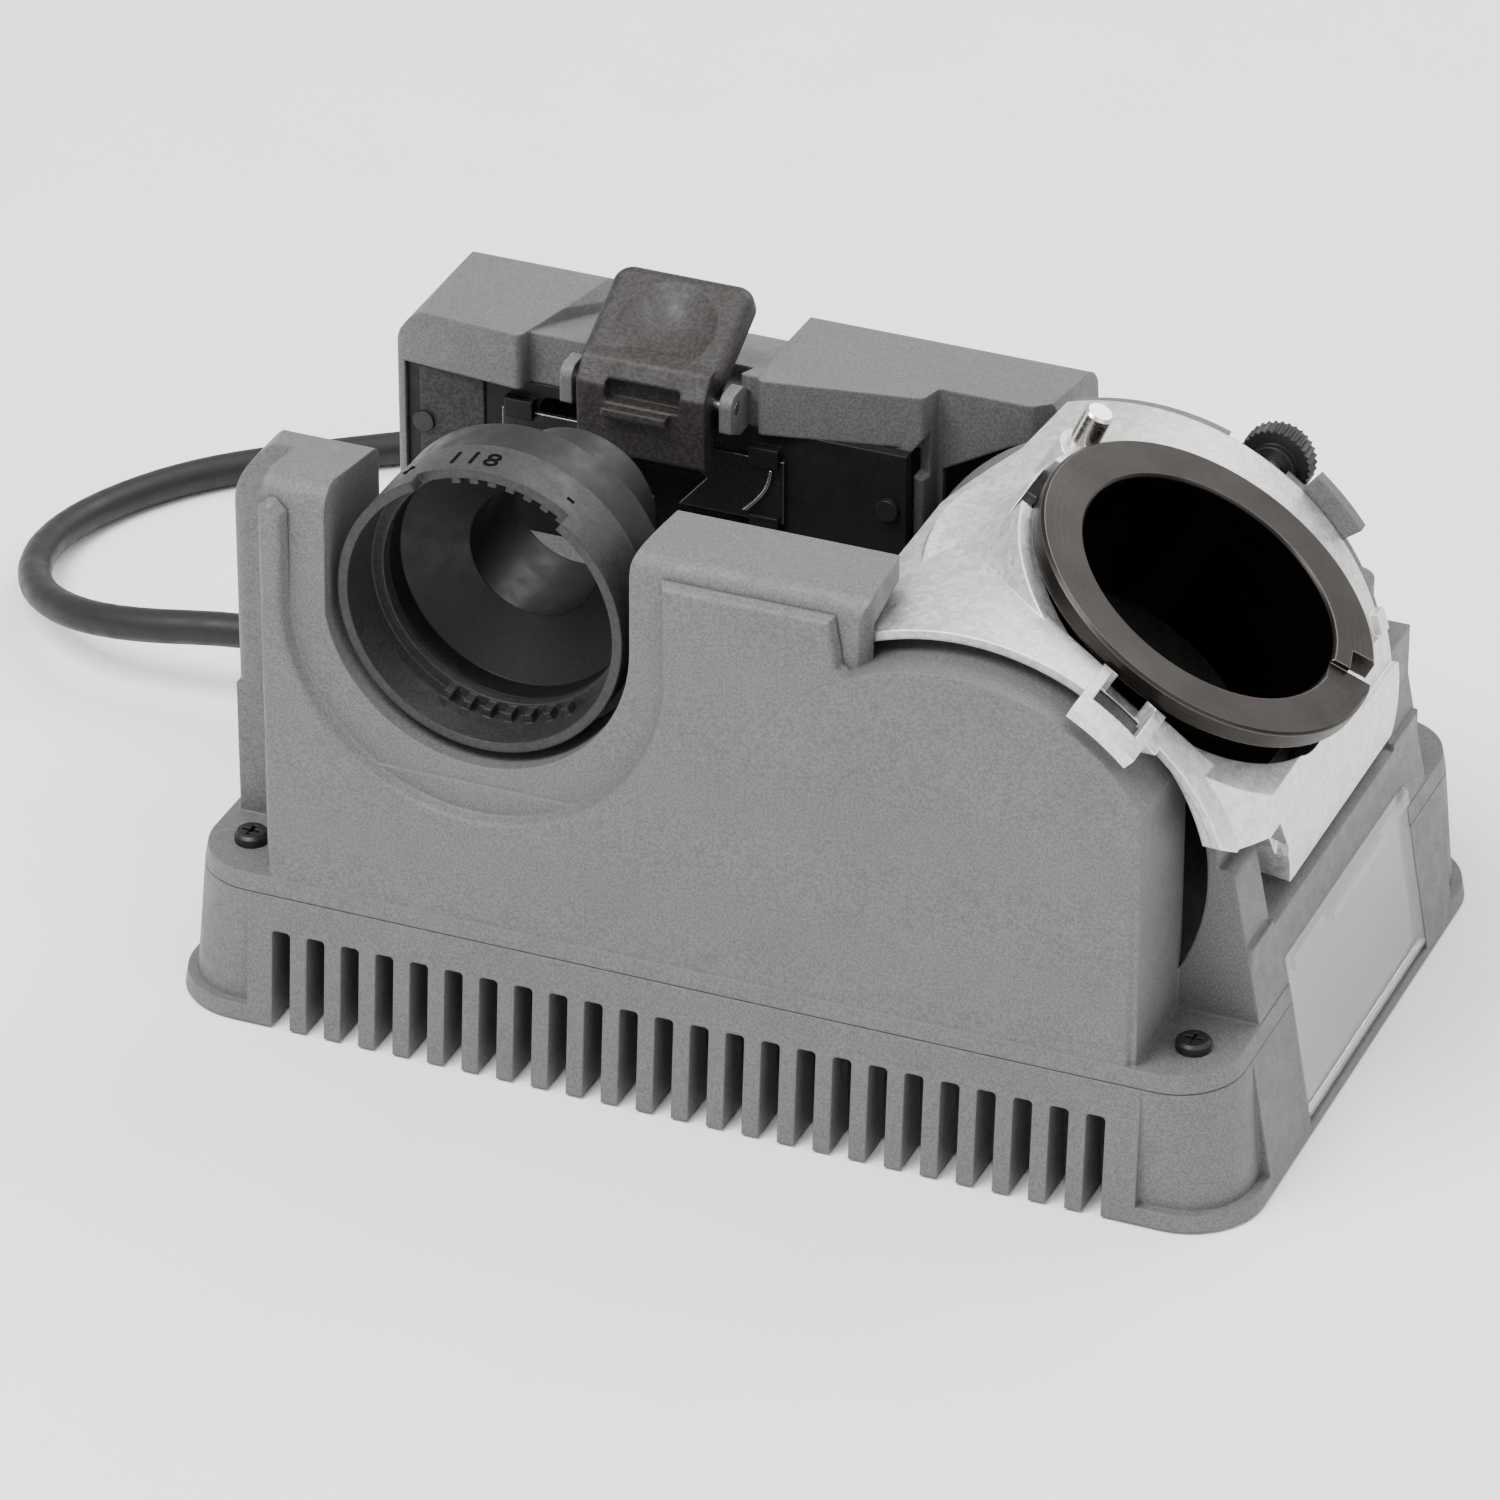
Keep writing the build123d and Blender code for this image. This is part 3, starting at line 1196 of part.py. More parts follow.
bezel_t = 1.5
rocker_w, rocker_h = 14.0, 10.6
rocker_lean = 8.0
switch_axis_y = hood_back_y - 2.0
with BuildPart() as switch_body:
    with BuildSketch(xz(60)):
        with Locations((switch_x, switch_z)):
            Rectangle(switch_w - 0.2, switch_h - 0.2)
    extrude(amount=-(hood_back_y - 60))
    with BuildSketch(xz(hood_back_y)):
        with Locations((switch_x, switch_z)):
            RectangleRounded(switch_w + 4, switch_h + 4, 1)
    extrude(amount=-bezel_t)
    with BuildSketch(xz(hood_back_y - 9)):
        with Locations((switch_x, switch_z)):
            Rectangle(rocker_w + 0.6, rocker_h + 3.6)
    extrude(amount=-15, mode=Mode.SUBTRACT)
    with BuildSketch(Plane.YZ.offset(switch_x - rocker_w / 2 - 2)):
        with Locations((switch_axis_y, switch_z)):
            Circle(1.0)
    extrude(amount=rocker_w + 4, mode=Mode.SUBTRACT)
save(switch_body.part, "switch_body")

with BuildPart() as switch_rocker:
    add(block(
        Plane.YZ.offset(switch_x - rocker_w / 2), rocker_w,
        (switch_axis_y - 4.5, switch_z - 2, 1), (switch_axis_y - 0.5, switch_z - 5.2),
        (switch_axis_y + 4.6, switch_z - 5.4, 0.8), (switch_axis_y + 3.4, switch_z),
        (switch_axis_y + 4.6, switch_z + 5.4, 0.8), (switch_axis_y - 0.5, switch_z + 5.2),
        (switch_axis_y - 4.5, switch_z + 2, 1),
    ))
    with BuildSketch(Plane.YZ.offset(switch_x - rocker_w / 2 - 1.8)):
        with Locations((switch_axis_y, switch_z)):
            Circle(0.95)
    extrude(amount=rocker_w + 3.6)
switch_tilt = Axis((switch_x, switch_axis_y, switch_z), (1, 0, 0))
save(switch_rocker.part.rotate(switch_tilt, -rocker_lean), "switch_rocker")

# ---------------------------------------------------------------- clear dust cover
cover_y0, cover_y1 = door_y0 + 0.4, door_y1 - 0.4
cover_top_z = door_z1 - 0.3
cover_t = 1.6
with BuildPart() as dust_cover:
    with BuildSketch(Plane.XZ.offset(-cover_y0)):
        with BuildLine():
            Polyline(
                (end_x(hinge_z), hinge_z), (end_x(cover_top_z), cover_top_z),
                (end_x(cover_top_z) - cover_t, cover_top_z), (end_x(hinge_z) - cover_t, hinge_z),
                close=True,
            )
        make_face()
        with Locations((hinge_x, hinge_z)):
            Circle(hinge_r)
    extrude(amount=-(cover_y1 - cover_y0))
    # rail along the top edge, with a finger tab in its middle
    for inset, proud, tall in ((1.0, 1.3, 3.4), (22.0, 3.2, 1.8)):
        with BuildSketch(Plane.XZ.offset(-(cover_y0 + inset))):
            with BuildLine():
                Polyline(
                    (end_x(cover_top_z) - 0.5, cover_top_z),
                    (end_x(cover_top_z) + proud, cover_top_z),
                    (end_x(cover_top_z - tall) + proud, cover_top_z - tall),
                    (end_x(cover_top_z - tall) - 0.5, cover_top_z - tall),
                    close=True,
                )
            make_face()
        extrude(amount=-(cover_y1 - cover_y0 - 2 * inset))
    with BuildSketch(Plane.XZ.offset(-cover_y0 + 1)):
        with Locations((hinge_x, hinge_z)):
            Circle(hinge_pin_r + 0.05)
    extrude(amount=-(cover_y1 - cover_y0 + 2), mode=Mode.SUBTRACT)
save(dust_cover.part, "dust_cover")

with BuildPart() as cover_pin:
    with BuildSketch(Plane.XZ.offset(-door_y0 + 2.5)):
        with Locations((hinge_x, hinge_z)):
            Circle(hinge_pin_r)
    extrude(amount=-(door_y1 - door_y0 + 5))
save(cover_pin.part, "cover_pin")

# ---------------------------------------------------------------- mains lead
with BuildPart() as strain_relief:
    with BuildSketch(Plane.XY):
        with BuildLine():
            Polyline(
                (-123, cord_r), (-123, 6.0), (-128, 6.0), (-128, 8.0), (-130, 8.0), (-130, 6.4),
                (relief_end_x, 5.0), (relief_end_x, cord_r), close=True,
            )
        make_face()
    revolve(axis=Axis.X)
save(strain_relief.part.moved(Location((0, cord_exit[1], cord_exit[2]))), "strain_relief")

route = [Vector(*p) for p in cord_route]
radii = []
for before, here, after in zip(route, route[1:], route[2:]):
    turn = radians((here - before).get_angle(after - here))
    shorter = min((here - before).length, (after - here).length)
    radii.append(0.45 * shorter / tan(turn / 2))
print("cord radii", [round(r) for r in radii])
with BuildPart() as power_cord:
    with BuildLine():
        cord_line = FilletPolyline(*route, radius=radii)
    with BuildSketch(Plane(origin=route[0], z_dir=route[1] - route[0])):
        Circle(cord_r)
    sweep()
cord_volume = pi * cord_r**2 * cord_line.length
volume_ratio = power_cord.part.volume / cord_volume
print("cord length", round(cord_line.length, 1), "volume ratio", round(volume_ratio, 4))
save(power_cord.part, "power_cord")

coil_start, coil_sweep = 108.0, 250.0
with BuildPart() as cord_coil:
    with BuildSketch(Plane.XZ):
        with Locations((coil_r, (coil_top_z + 0.1) / 2)):
            RectangleRounded(4 * cord_r, coil_top_z - 0.1, 3.6)
    revolve(axis=Axis.Z)
    with BuildSketch(Plane.XZ):
        with Locations((coil_r, coil_top_z + 2.0)):
            RectangleRounded(2 * cord_r, 10.4, 3.6)
    revolve(axis=Axis.Z, revolution_arc=coil_sweep)
coil_at = Location((coil_x, coil_y, 0), (0, 0, coil_start - coil_sweep))
save(cord_coil.part.moved(coil_at), "cord_coil")

# the plug lies along the ring on the lower turns, where the top turn ends
plug_angle = coil_start - coil_sweep - 52
plug_l, plug_w, plug_h = 32.0, 24.0, 17.0
blade_l = 17.0
plug_plane = Plane(
    origin=(
        coil_x + (coil_r - 6) * cos(radians(plug_angle)),
        coil_y + (coil_r - 6) * sin(radians(plug_angle)),
        coil_top_z + 0.1 + plug_h / 2,
    ),
    x_dir=(-sin(radians(plug_angle)), cos(radians(plug_angle)), 0),
    z_dir=(0, 0, 1),
)
with BuildPart() as plug_body:
    with BuildSketch(plug_plane.offset(-plug_h / 2)):
        RectangleRounded(plug_l, plug_w, 4)
    extrude(amount=plug_h)
    chamfer(plug_body.edges().group_by(Axis.Z)[-1], 1.5)
    nose = Plane(origin=plug_plane.origin, x_dir=(0, 0, 1), z_dir=plug_plane.x_dir)
    with BuildSketch(nose.offset(plug_l / 2)):
        Circle(6.5)
    with BuildSketch(nose.offset(plug_l / 2 + 14)):
        Circle(5.0)
    loft()
save(plug_body.part, "plug_body")

with BuildPart() as plug_blades:
    with BuildSketch(nose.offset(-plug_l / 2 - blade_l)):
        with Locations((0, -6.35), (0, 6.35)):
            Rectangle(6.3, 1.5)
    extrude(amount=blade_l)
save(plug_blades.part, "plug_blades")
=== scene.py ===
import json
from math import cos, radians, sin

import bmesh
import bpy
from mathutils import Matrix, Vector


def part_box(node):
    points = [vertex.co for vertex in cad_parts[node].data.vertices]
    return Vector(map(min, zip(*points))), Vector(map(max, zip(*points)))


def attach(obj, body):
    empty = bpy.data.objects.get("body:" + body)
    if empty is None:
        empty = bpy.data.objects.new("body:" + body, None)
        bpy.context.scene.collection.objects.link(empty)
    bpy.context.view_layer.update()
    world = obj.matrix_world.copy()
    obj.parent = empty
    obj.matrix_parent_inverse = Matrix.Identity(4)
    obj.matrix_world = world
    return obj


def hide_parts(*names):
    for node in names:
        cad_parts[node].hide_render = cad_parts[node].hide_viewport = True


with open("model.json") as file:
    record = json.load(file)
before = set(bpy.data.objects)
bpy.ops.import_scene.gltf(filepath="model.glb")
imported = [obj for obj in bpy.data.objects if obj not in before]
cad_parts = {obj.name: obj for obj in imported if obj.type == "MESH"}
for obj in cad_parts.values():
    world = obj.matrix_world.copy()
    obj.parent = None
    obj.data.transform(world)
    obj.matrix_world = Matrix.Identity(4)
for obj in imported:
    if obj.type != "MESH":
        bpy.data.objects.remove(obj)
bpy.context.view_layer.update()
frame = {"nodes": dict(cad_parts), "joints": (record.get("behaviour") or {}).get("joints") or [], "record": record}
nodes = frame["nodes"]
joints = {joint["name"]: joint for joint in frame["joints"]}
MM = 0.001                    # the CAD model's millimetres, in metres


def joint_place(name):
    """Where a joint sits, in mm."""
    return Vector(joints[name]["pos_m"]) / MM


def node_corners(name):
    """Lowest and highest corners of a node, in mm."""
    low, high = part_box(name)
    return low / MM, high / MM


# ---------------------------------------------------------------- camera and light
AZIMUTH = radians(22.54)      # the camera stands to the right of the front
ELEVATION = radians(30.88)
DISTANCE = 2.003              # metres
TARGET = Vector((-0.01996, 0.0, 0.04529))
SENSOR_WIDTH, FOCAL_LENGTH = 36, 210.8    # mm


def direction(azimuth, elevation):
    """Unit vector from the machine towards a viewer at this azimuth and elevation."""
    return Vector((
        sin(azimuth) * cos(elevation), -cos(azimuth) * cos(elevation), sin(elevation)
    ))


def add_camera():
    data = bpy.data.cameras.new("camera")
    data.sensor_width = SENSOR_WIDTH
    data.lens = FOCAL_LENGTH
    data.clip_end = 20
    camera = bpy.data.objects.new("camera", data)
    towards = direction(AZIMUTH, ELEVATION)
    camera.location = TARGET + towards * DISTANCE
    camera.rotation_euler = towards.to_track_quat("Z", "Y").to_euler()
    bpy.context.collection.objects.link(camera)
    bpy.context.scene.camera = camera


def add_light(name, azimuth, elevation, distance, size, power):
    """Square soft light, with its place in degrees and metres and its power in watts."""
    data = bpy.data.lights.new(name, "AREA")
    data.size = size
    data.energy = power
    light = bpy.data.objects.new(name, data)
    towards = direction(radians(azimuth), radians(elevation))
    light.location = towards * distance
    light.rotation_euler = towards.to_track_quat("Z", "Y").to_euler()
    bpy.context.collection.objects.link(light)


add_camera()
add_light("key", -30, 62, 1.6, 0.8, 34)
add_light("fill", 60, 30, 1.8, 1.2, 8)
add_light("rim", 160, 50, 1.6, 1.0, 16)
world = bpy.data.worlds.new("studio")
world.use_nodes = True
world.node_tree.nodes["Background"].inputs["Color"].default_value = (1, 1, 1, 1)
world.node_tree.nodes["Background"].inputs["Strength"].default_value = 1.05
bpy.context.scene.world = world


# ---------------------------------------------------------------- materials
class Shader:
    """One material being built: small helpers over its node tree."""

    def __init__(self, name):
        self.material = bpy.data.materials.new(name)
        self.material.use_nodes = True
        self.tree = self.material.node_tree
        self.surface = self.tree.nodes["Principled BSDF"]
        self.coords = self.node("ShaderNodeTexCoord").outputs["Object"]

    def node(self, kind, **settings):
        node = self.tree.nodes.new(kind)
        for key, value in settings.items():
            setattr(node, key, value)
        return node

    def link(self, start, end):
        self.tree.links.new(start, end)

    def stretched(self, scale):
        mapping = self.node("ShaderNodeMapping")
        mapping.inputs["Scale"].default_value = scale
        self.link(self.coords, mapping.inputs["Vector"])
        return mapping.outputs["Vector"]

    def noise(self, scale, detail=3, roughness=0.5, stretch=None):
        node = self.node("ShaderNodeTexNoise")
        node.inputs["Scale"].default_value = scale
        node.inputs["Detail"].default_value = detail
        node.inputs["Roughness"].default_value = roughness
        self.link(self.stretched(stretch) if stretch else self.coords, node.inputs["Vector"])
        return node.outputs["Fac"]

    def cells(self, scale, output="Distance"):
        node = self.node("ShaderNodeTexVoronoi")
        node.inputs["Scale"].default_value = scale
        self.link(self.coords, node.inputs["Vector"])
        return node.outputs[output]

    def vector(self, operation, first, second):
        """Vector maths on an output and a fixed vector."""
        node = self.node("ShaderNodeVectorMath", operation=operation)
        self.link(first, node.inputs[0])
        if second is not None:
            node.inputs[1].default_value = second
        return node

    def about(self, origin, axis):
        """Distance from an axis and place along it, in metres."""
        arm = self.vector("SUBTRACT", self.coords, origin).outputs["Vector"]
        across = self.vector("CROSS_PRODUCT", arm, axis).outputs["Vector"]
        radius = self.vector("LENGTH", across, None).outputs["Value"]
        return radius, self.vector("DOT_PRODUCT", arm, axis).outputs["Value"]

    def turned(self, radius, along, scale):
        """Fine marks that run round an axis, as a lathe leaves them."""
        place = self.node("ShaderNodeCombineXYZ")
        self.link(radius, place.inputs["X"])
        self.link(along, place.inputs["Y"])
        node = self.node("ShaderNodeTexNoise")
        node.inputs["Scale"].default_value = scale
        node.inputs["Detail"].default_value = 2
        self.link(place.outputs["Vector"], node.inputs["Vector"])
        return node.outputs["Fac"]

    def spread(self, value, low, high, start=0.3, end=0.7):
        node = self.node("ShaderNodeMapRange")
        node.inputs["From Min"].default_value = start
        node.inputs["From Max"].default_value = end
        node.inputs["To Min"].default_value = low
        node.inputs["To Max"].default_value = high
        self.link(value, node.inputs["Value"])
        return node.outputs["Result"]

    def colours(self, value, *stops):
        """Colour ramp over a value; each stop is (place, colour)."""
        node = self.node("ShaderNodeValToRGB")
        ramp = node.color_ramp
        for _ in stops[2:]:
            ramp.elements.new(0.5)
        for element, (place, colour) in zip(ramp.elements, stops):
            element.position = place
            element.color = (*colour, 1)
        self.link(value, node.inputs["Fac"])
        return node.outputs["Color"]

    def mix(self, factor, first, second, mode="MIX"):
        node = self.node("ShaderNodeMix", data_type="RGBA", blend_type=mode)
        if isinstance(factor, float):
            node.inputs[0].default_value = factor
        else:
            self.link(factor, node.inputs[0])
        for socket, value in ((node.inputs[6], first), (node.inputs[7], second)):
            if isinstance(value, tuple):
                socket.default_value = (*value, 1)
            else:
                self.link(value, socket)
        return node.outputs[2]

    def colour(self, value):
        self.link(value, self.surface.inputs["Base Color"])

    def rough(self, value):
        self.link(value, self.surface.inputs["Roughness"])

    def rounded(self, radius):
        """Normal that looks as if edges were rounded by this radius."""
        node = self.node("ShaderNodeBevel", samples=6)
        node.inputs["Radius"].default_value = radius
        return node.outputs["Normal"]

    def edges(self, radius):
        """1 on sharp edges, 0 on flat faces."""
        bevel = self.rounded(radius)
        geometry = self.node("ShaderNodeNewGeometry")
        dot = self.node("ShaderNodeVectorMath", operation="DOT_PRODUCT")
        self.link(bevel, dot.inputs[0])
        self.link(geometry.outputs["Normal"], dot.inputs[1])
        return self.spread(dot.outputs["Value"], 1.0, 0.0, 0.85, 0.995)

    def relief(self, *layers, edge=0.0006):
        """Bump from (height, strength, depth in metres) layers over rounded edges."""
        normal = self.rounded(edge)
        for height, strength, depth in layers:
            bump = self.node("ShaderNodeBump")
            bump.inputs["Strength"].default_value = strength
            bump.inputs["Distance"].default_value = depth
            self.link(height, bump.inputs["Height"])
            self.link(normal, bump.inputs["Normal"])
            normal = bump.outputs["Normal"]
        self.link(normal, self.surface.inputs["Normal"])


def scaled(colour, factor):
    return tuple(min(1.0, channel * factor) for channel in colour)


def moulded(name, colour, rough=0.55, grain=1800, depth=0.00006, edge=0.0008, speckle=0.14,
            gloss=0.5):
    """Spark-textured moulded plastic: fine grain, soft mottling, edges painted lighter as highlight and rubbed
    wear.
    """
    shader = Shader(name)
    shader.surface.inputs["Specular IOR Level"].default_value = gloss
    mottle = shader.noise(45, 5, 0.6)
    grains = shader.noise(grain, 2, 0.6)
    body = shader.colours(mottle, (0.3, scaled(colour, 0.95)), (0.7, scaled(colour, 1.05)))
    dark, light = 1 - speckle, 1 + speckle
    speck = shader.colours(grains, (0.4, (dark, dark, dark)), (0.6, (light, light, light)))
    base = shader.mix(1.0, body, speck, "MULTIPLY")
    # lighter edges: painted highlight where light catches rounded edges, partly rubbed wear
    edge_highlight_and_wear = shader.mix(shader.edges(edge), base, scaled(colour, 1.35))
    shader.colour(shader.mix(0.45, base, edge_highlight_and_wear))
    shader.rough(shader.spread(shader.noise(220, 4), rough - 0.08, rough + 0.1))
    shader.relief((grains, 0.5, depth), (mottle, 0.15, 0.0003), edge=edge)
    return shader.material


def metal(name, colour, rough=0.3, metallic=1.0, grain=900, depth=0.00004, stretch=None,
          edge=0.0004, spread=0.12, bright=1.4):
    """Machined metal: colour drift, grain that may be drawn out, edges painted brighter as highlight and wear."""
    shader = Shader(name)
    shader.surface.inputs["Metallic"].default_value = metallic
    drift = shader.noise(60, 5, 0.65)
    grains = shader.noise(grain, 4, 0.7, stretch)
    dark, light = scaled(colour, 1 - spread), scaled(colour, 1 + spread)
    body = shader.colours(drift, (0.25, dark), (0.75, light))
    streak = shader.colours(grains, (0.3, (0.85, 0.85, 0.85)), (0.7, (1.1, 1.1, 1.1)))
    base = shader.mix(0.7, body, streak, "MULTIPLY")
    # brighter edges: painted highlight where light catches the edges, partly rubbed wear
    edge_highlight_and_wear = shader.mix(shader.edges(edge), base, scaled(colour, bright))
    shader.colour(shader.mix(0.5, base, edge_highlight_and_wear))
    shader.rough(shader.spread(grains, rough - 0.08, rough + 0.12))
    shader.relief((grains, 0.6, depth), (drift, 0.2, 0.0004), edge=edge)
    return shader.material


def die_cast():
    """Bright zinc casting: crystal facets a few millimetres wide under a fine sandy grain."""
    shader = Shader("die_cast")
    shader.surface.inputs["Metallic"].default_value = 0.8
    crystals = shader.cells(600, "Color")
    facets = shader.node("ShaderNodeRGBToBW")
    shader.link(crystals, facets.inputs["Color"])
    grains = shader.noise(1500, 4, 0.75)
    flow = shader.noise(70, 5, 0.7, (1, 3, 1))
    dark, light = (0.62, 0.62, 0.61), (0.76, 0.76, 0.75)
    body = shader.colours(facets.outputs["Val"], (0.2, dark), (0.8, light))
    tone = shader.colours(flow, (0.3, (0.92, 0.92, 0.92)), (0.7, (1.04, 1.04, 1.04)))
    speck = shader.colours(grains, (0.3, (0.78, 0.78, 0.78)), (0.7, (1.12, 1.12, 1.12)))
    base = shader.mix(1.0, shader.mix(1.0, body, tone, "MULTIPLY"), speck, "MULTIPLY")
    # edges painted near-white: painted highlight where light catches rounded edges
    shader.colour(shader.mix(shader.edges(0.0007), base, (0.95, 0.95, 0.94)))
    shader.rough(shader.spread(facets.outputs["Val"], 0.3, 0.48, 0.0, 1.0))
    shader.relief((facets.outputs["Val"], 0.3, 0.0001), (grains, 0.8, 0.0002), edge=0.0007)
    return shader.material


def tube_steel():
    """Blackened steel tube with lathe marks round its axis and a black bore."""
    shader = Shader("tube_steel")
    shader.surface.inputs["Metallic"].default_value = 0.92
    radius, along = shader.about(TUBE_FACE, TUBE_AXIS)
    marks = shader.turned(radius, along, 1500)
    drift = shader.noise(55, 4, 0.6)
    body = shader.colours(drift, (0.3, (0.02, 0.0172, 0.0155)), (0.7, (0.034, 0.0295, 0.026)))
    streak = shader.colours(marks, (0.3, (0.8, 0.8, 0.8)), (0.7, (1.18, 1.18, 1.18)))
    base = shader.mix(1.0, body, streak, "MULTIPLY")
    # lighter edges: painted highlight, partly rubbed wear through the blackening
    edge_highlight_and_wear = shader.mix(shader.edges(0.0005), base, (0.2, 0.18, 0.165))
    bore = shader.spread(radius, 1.0, 0.0, TUBE_BORE + 0.1 * MM, TUBE_BORE + 0.4 * MM)
    shader.colour(shader.mix(bore, edge_highlight_and_wear, (0.006, 0.006, 0.006)))
    shader.rough(shader.spread(marks, 0.24, 0.42))
    shader.relief((marks, 0.5, 0.00004), (drift, 0.1, 0.0003), edge=0.0005)
    return shader.material


def clear_plastic():
    """Clear moulded cover, slightly frosted and dusty."""
    shader = Shader("clear_plastic")
    haze = shader.noise(18, 3)
    dust = shader.noise(2600, 2)
    shader.surface.inputs["Transmission Weight"].default_value = 0.7
    shader.surface.inputs["IOR"].default_value = 1.4
    shader.surface.inputs["Alpha"].default_value = 0.42
    body = shader.colours(haze, (0.3, (0.8, 0.81, 0.82)), (0.7, (0.9, 0.91, 0.92)))
    speck = shader.colours(dust, (0.4, (0.93, 0.93, 0.93)), (0.6, (1.0, 1.0, 1.0)))
    shader.colour(shader.mix(1.0, body, speck, "MULTIPLY"))
    shader.rough(shader.spread(haze, 0.12, 0.24))
    shader.relief((dust, 0.05, 0.00002), edge=0.0006)
    return shader.material


def circuit():
    """Green board with a web of lighter traces."""
    shader = Shader("circuit")
    traces = shader.cells(140)
    shader.colour(shader.colours(traces, (0.1, (0.02, 0.16, 0.07)), (0.5, (0.05, 0.3, 0.14))))
    shader.rough(shader.spread(traces, 0.3, 0.5))
    shader.relief((traces, 0.3, 0.0001))
    return shader.material


# the sharpening tube: its axis, the middle of its ring face and its bore
TUBE_TILT = radians(59)
TUBE_AXIS = Vector((cos(TUBE_TILT), 0, sin(TUBE_TILT)))
TUBE_DOWN = Vector((sin(TUBE_TILT), 0, -cos(TUBE_TILT)))
TUBE_FACE = (joint_place("tube_rock") + 38 * TUBE_DOWN + 8.2 * TUBE_AXIS) * MM
TUBE_BORE = 31.5 * MM

GREY = (0.098, 0.096, 0.0985)  # the housing and the base
MATERIALS = {
    "housing": moulded("housing", GREY, speckle=0.2),
    "base": moulded("base", scaled(GREY, 0.97), speckle=0.2),
    "feet": moulded("feet", (0.03, 0.03, 0.03), rough=0.8),
    "black_plastic": moulded(
        "black_plastic", (0.008, 0.0076, 0.0075), rough=0.45, grain=1400, depth=0.00003,
        edge=0.0005, speckle=0.2, gloss=0.25
    ),
    "die_cast": die_cast(),
    "dark_steel": tube_steel(),
    "bright_steel": metal(
        "bright_steel", (0.62, 0.59, 0.56), rough=0.2, grain=700, depth=0.00002,
        stretch=(1, 1, 6), edge=0.0003
    ),
    "screw_black": metal(
        "screw_black", (0.03, 0.03, 0.03), rough=0.4, metallic=0.7, depth=0.00005
    ),
    "abrasive": metal(
        "abrasive", (0.4, 0.39, 0.37), rough=0.6, metallic=0.8, grain=2600, depth=0.0003
    ),
    "clear": clear_plastic(),
    "board": circuit(),
    "brass": metal("brass", (0.75, 0.55, 0.25), rough=0.25),
    "cord": moulded(
        "cord", (0.009, 0.009, 0.0095), rough=0.5, grain=1200, depth=0.00003, edge=0.0004,
        speckle=0.1, gloss=0.35
    ),
}
# finishes of single nodes and pieces that differ from their slot's
GRIP = moulded(
    "grip", (0.019, 0.0168, 0.0155), rough=0.52, grain=1000, depth=0.00022, edge=0.001,
    speckle=0.4, gloss=0.4
)
# pawl steel: dark, with a painted glint along the pawls' edges (edge colour nine times brighter)
PAWL = metal(
    "pawl_steel", (0.05, 0.05, 0.055), metallic=0.85, grain=500, depth=0.00001,
    stretch=(5, 1, 1), edge=0.0005, spread=0.2, bright=9.0
)
DIAL = moulded(
    "dial", (0.022, 0.0208, 0.02), rough=0.5, grain=1300, edge=0.0007, speckle=0.25, gloss=0.35
)
PLATE = moulded(
    "plate", (0.028, 0.0265, 0.0265), rough=0.6, grain=1300, depth=0.0001, edge=0.0006,
    speckle=0.35, gloss=0.3
)
# near-black numerals: painted shade standing in for the shade inside engraved marks on the collar
MARK_PAINTED_SHADE = moulded(
    "mark", (0.002, 0.002, 0.002), rough=0.8, grain=1500, depth=0.00003, edge=0.0002, gloss=0.05
)
NODE_MATERIALS = {
    "alignment_lever": GRIP, "pawl_left": PAWL, "pawl_right": PAWL, "port_dial": DIAL,
}
for part in frame["record"]["subparts"]:
    for slot in nodes[part["node"]].material_slots:
        slot.material = NODE_MATERIALS.get(part["node"], MATERIALS[part["material_slot"]])


def floor():
    """Plain pale floor, far wider than any view of the machine."""
    mesh = bpy.data.meshes.new("floor")
    reach = 6.0
    corners = [(-reach, -reach, 0), (reach, -reach, 0), (reach, reach, 0), (-reach, reach, 0)]
    mesh.from_pydata(corners, [], [(0, 1, 2, 3)])
    plane = bpy.data.objects.new("floor", mesh)
    bpy.context.collection.objects.link(plane)
    shader = Shader("floor_paper")
    fibres = shader.noise(30, 4)
    shader.colour(shader.colours(fibres, (0.3, (0.94, 0.94, 0.94)), (0.7, (0.96, 0.96, 0.96))))
    shader.surface.inputs["Roughness"].default_value = 0.9
    mesh.materials.append(shader.material)


floor()

# ---------------------------------------------------------------- mains lead
CORD_R = 4.2 * MM
# from the strain relief to the coil, in mm
ROUTE = [
    (-124, 44, 22), (-162, 44, 22), (-204, 39, 16.5), (-231, 54, 11), (-244, 82, 6.6),
    (-241, 110, 4.4), (-225, 136, 4.3), (-198, 157, 4.3), (-166, 179, 4.3), (-127, 199.9, 4.3),
]
COIL_CENTRE = Vector((-84, 158, 0))
COIL_START = 108.0             # degrees from +X; the turns run clockwise
TURN_POINTS = 20
EASE_FROM = 0.75               # share of a turn after which it eases to the next one
OUTER, INNER = 53.2, 44.8      # the two rings of turns
# radius and height of each turn, from the floor up
TURNS = [(OUTER, 4.3), (INNER, 4.3), (INNER, 12.6), (OUTER, 12.6), (49.0, 20.0)]
LAST_TURN = 250.0 / 360.0


def coil_points():
    """Control points of the coil: each turn eases over to the next one's radius and height."""
    count = round(TURN_POINTS * (len(TURNS) - 1 + LAST_TURN))
    points = []
    for index in range(count + 1):
        turns_done = index / TURN_POINTS
        turn = min(int(turns_done), len(TURNS) - 1)
        along = turns_done - turn
        radius, height = TURNS[turn]
        if along > EASE_FROM and turn + 1 < len(TURNS):
            ease = (along - EASE_FROM) / (1 - EASE_FROM)
            next_radius, next_height = TURNS[turn + 1]
            radius += (next_radius - radius) * ease
            height += (next_height - height) * ease
        angle = radians(COIL_START - 360 * turns_done)
        points.append(COIL_CENTRE + Vector((radius * cos(angle), radius * sin(angle), height)))
    return points


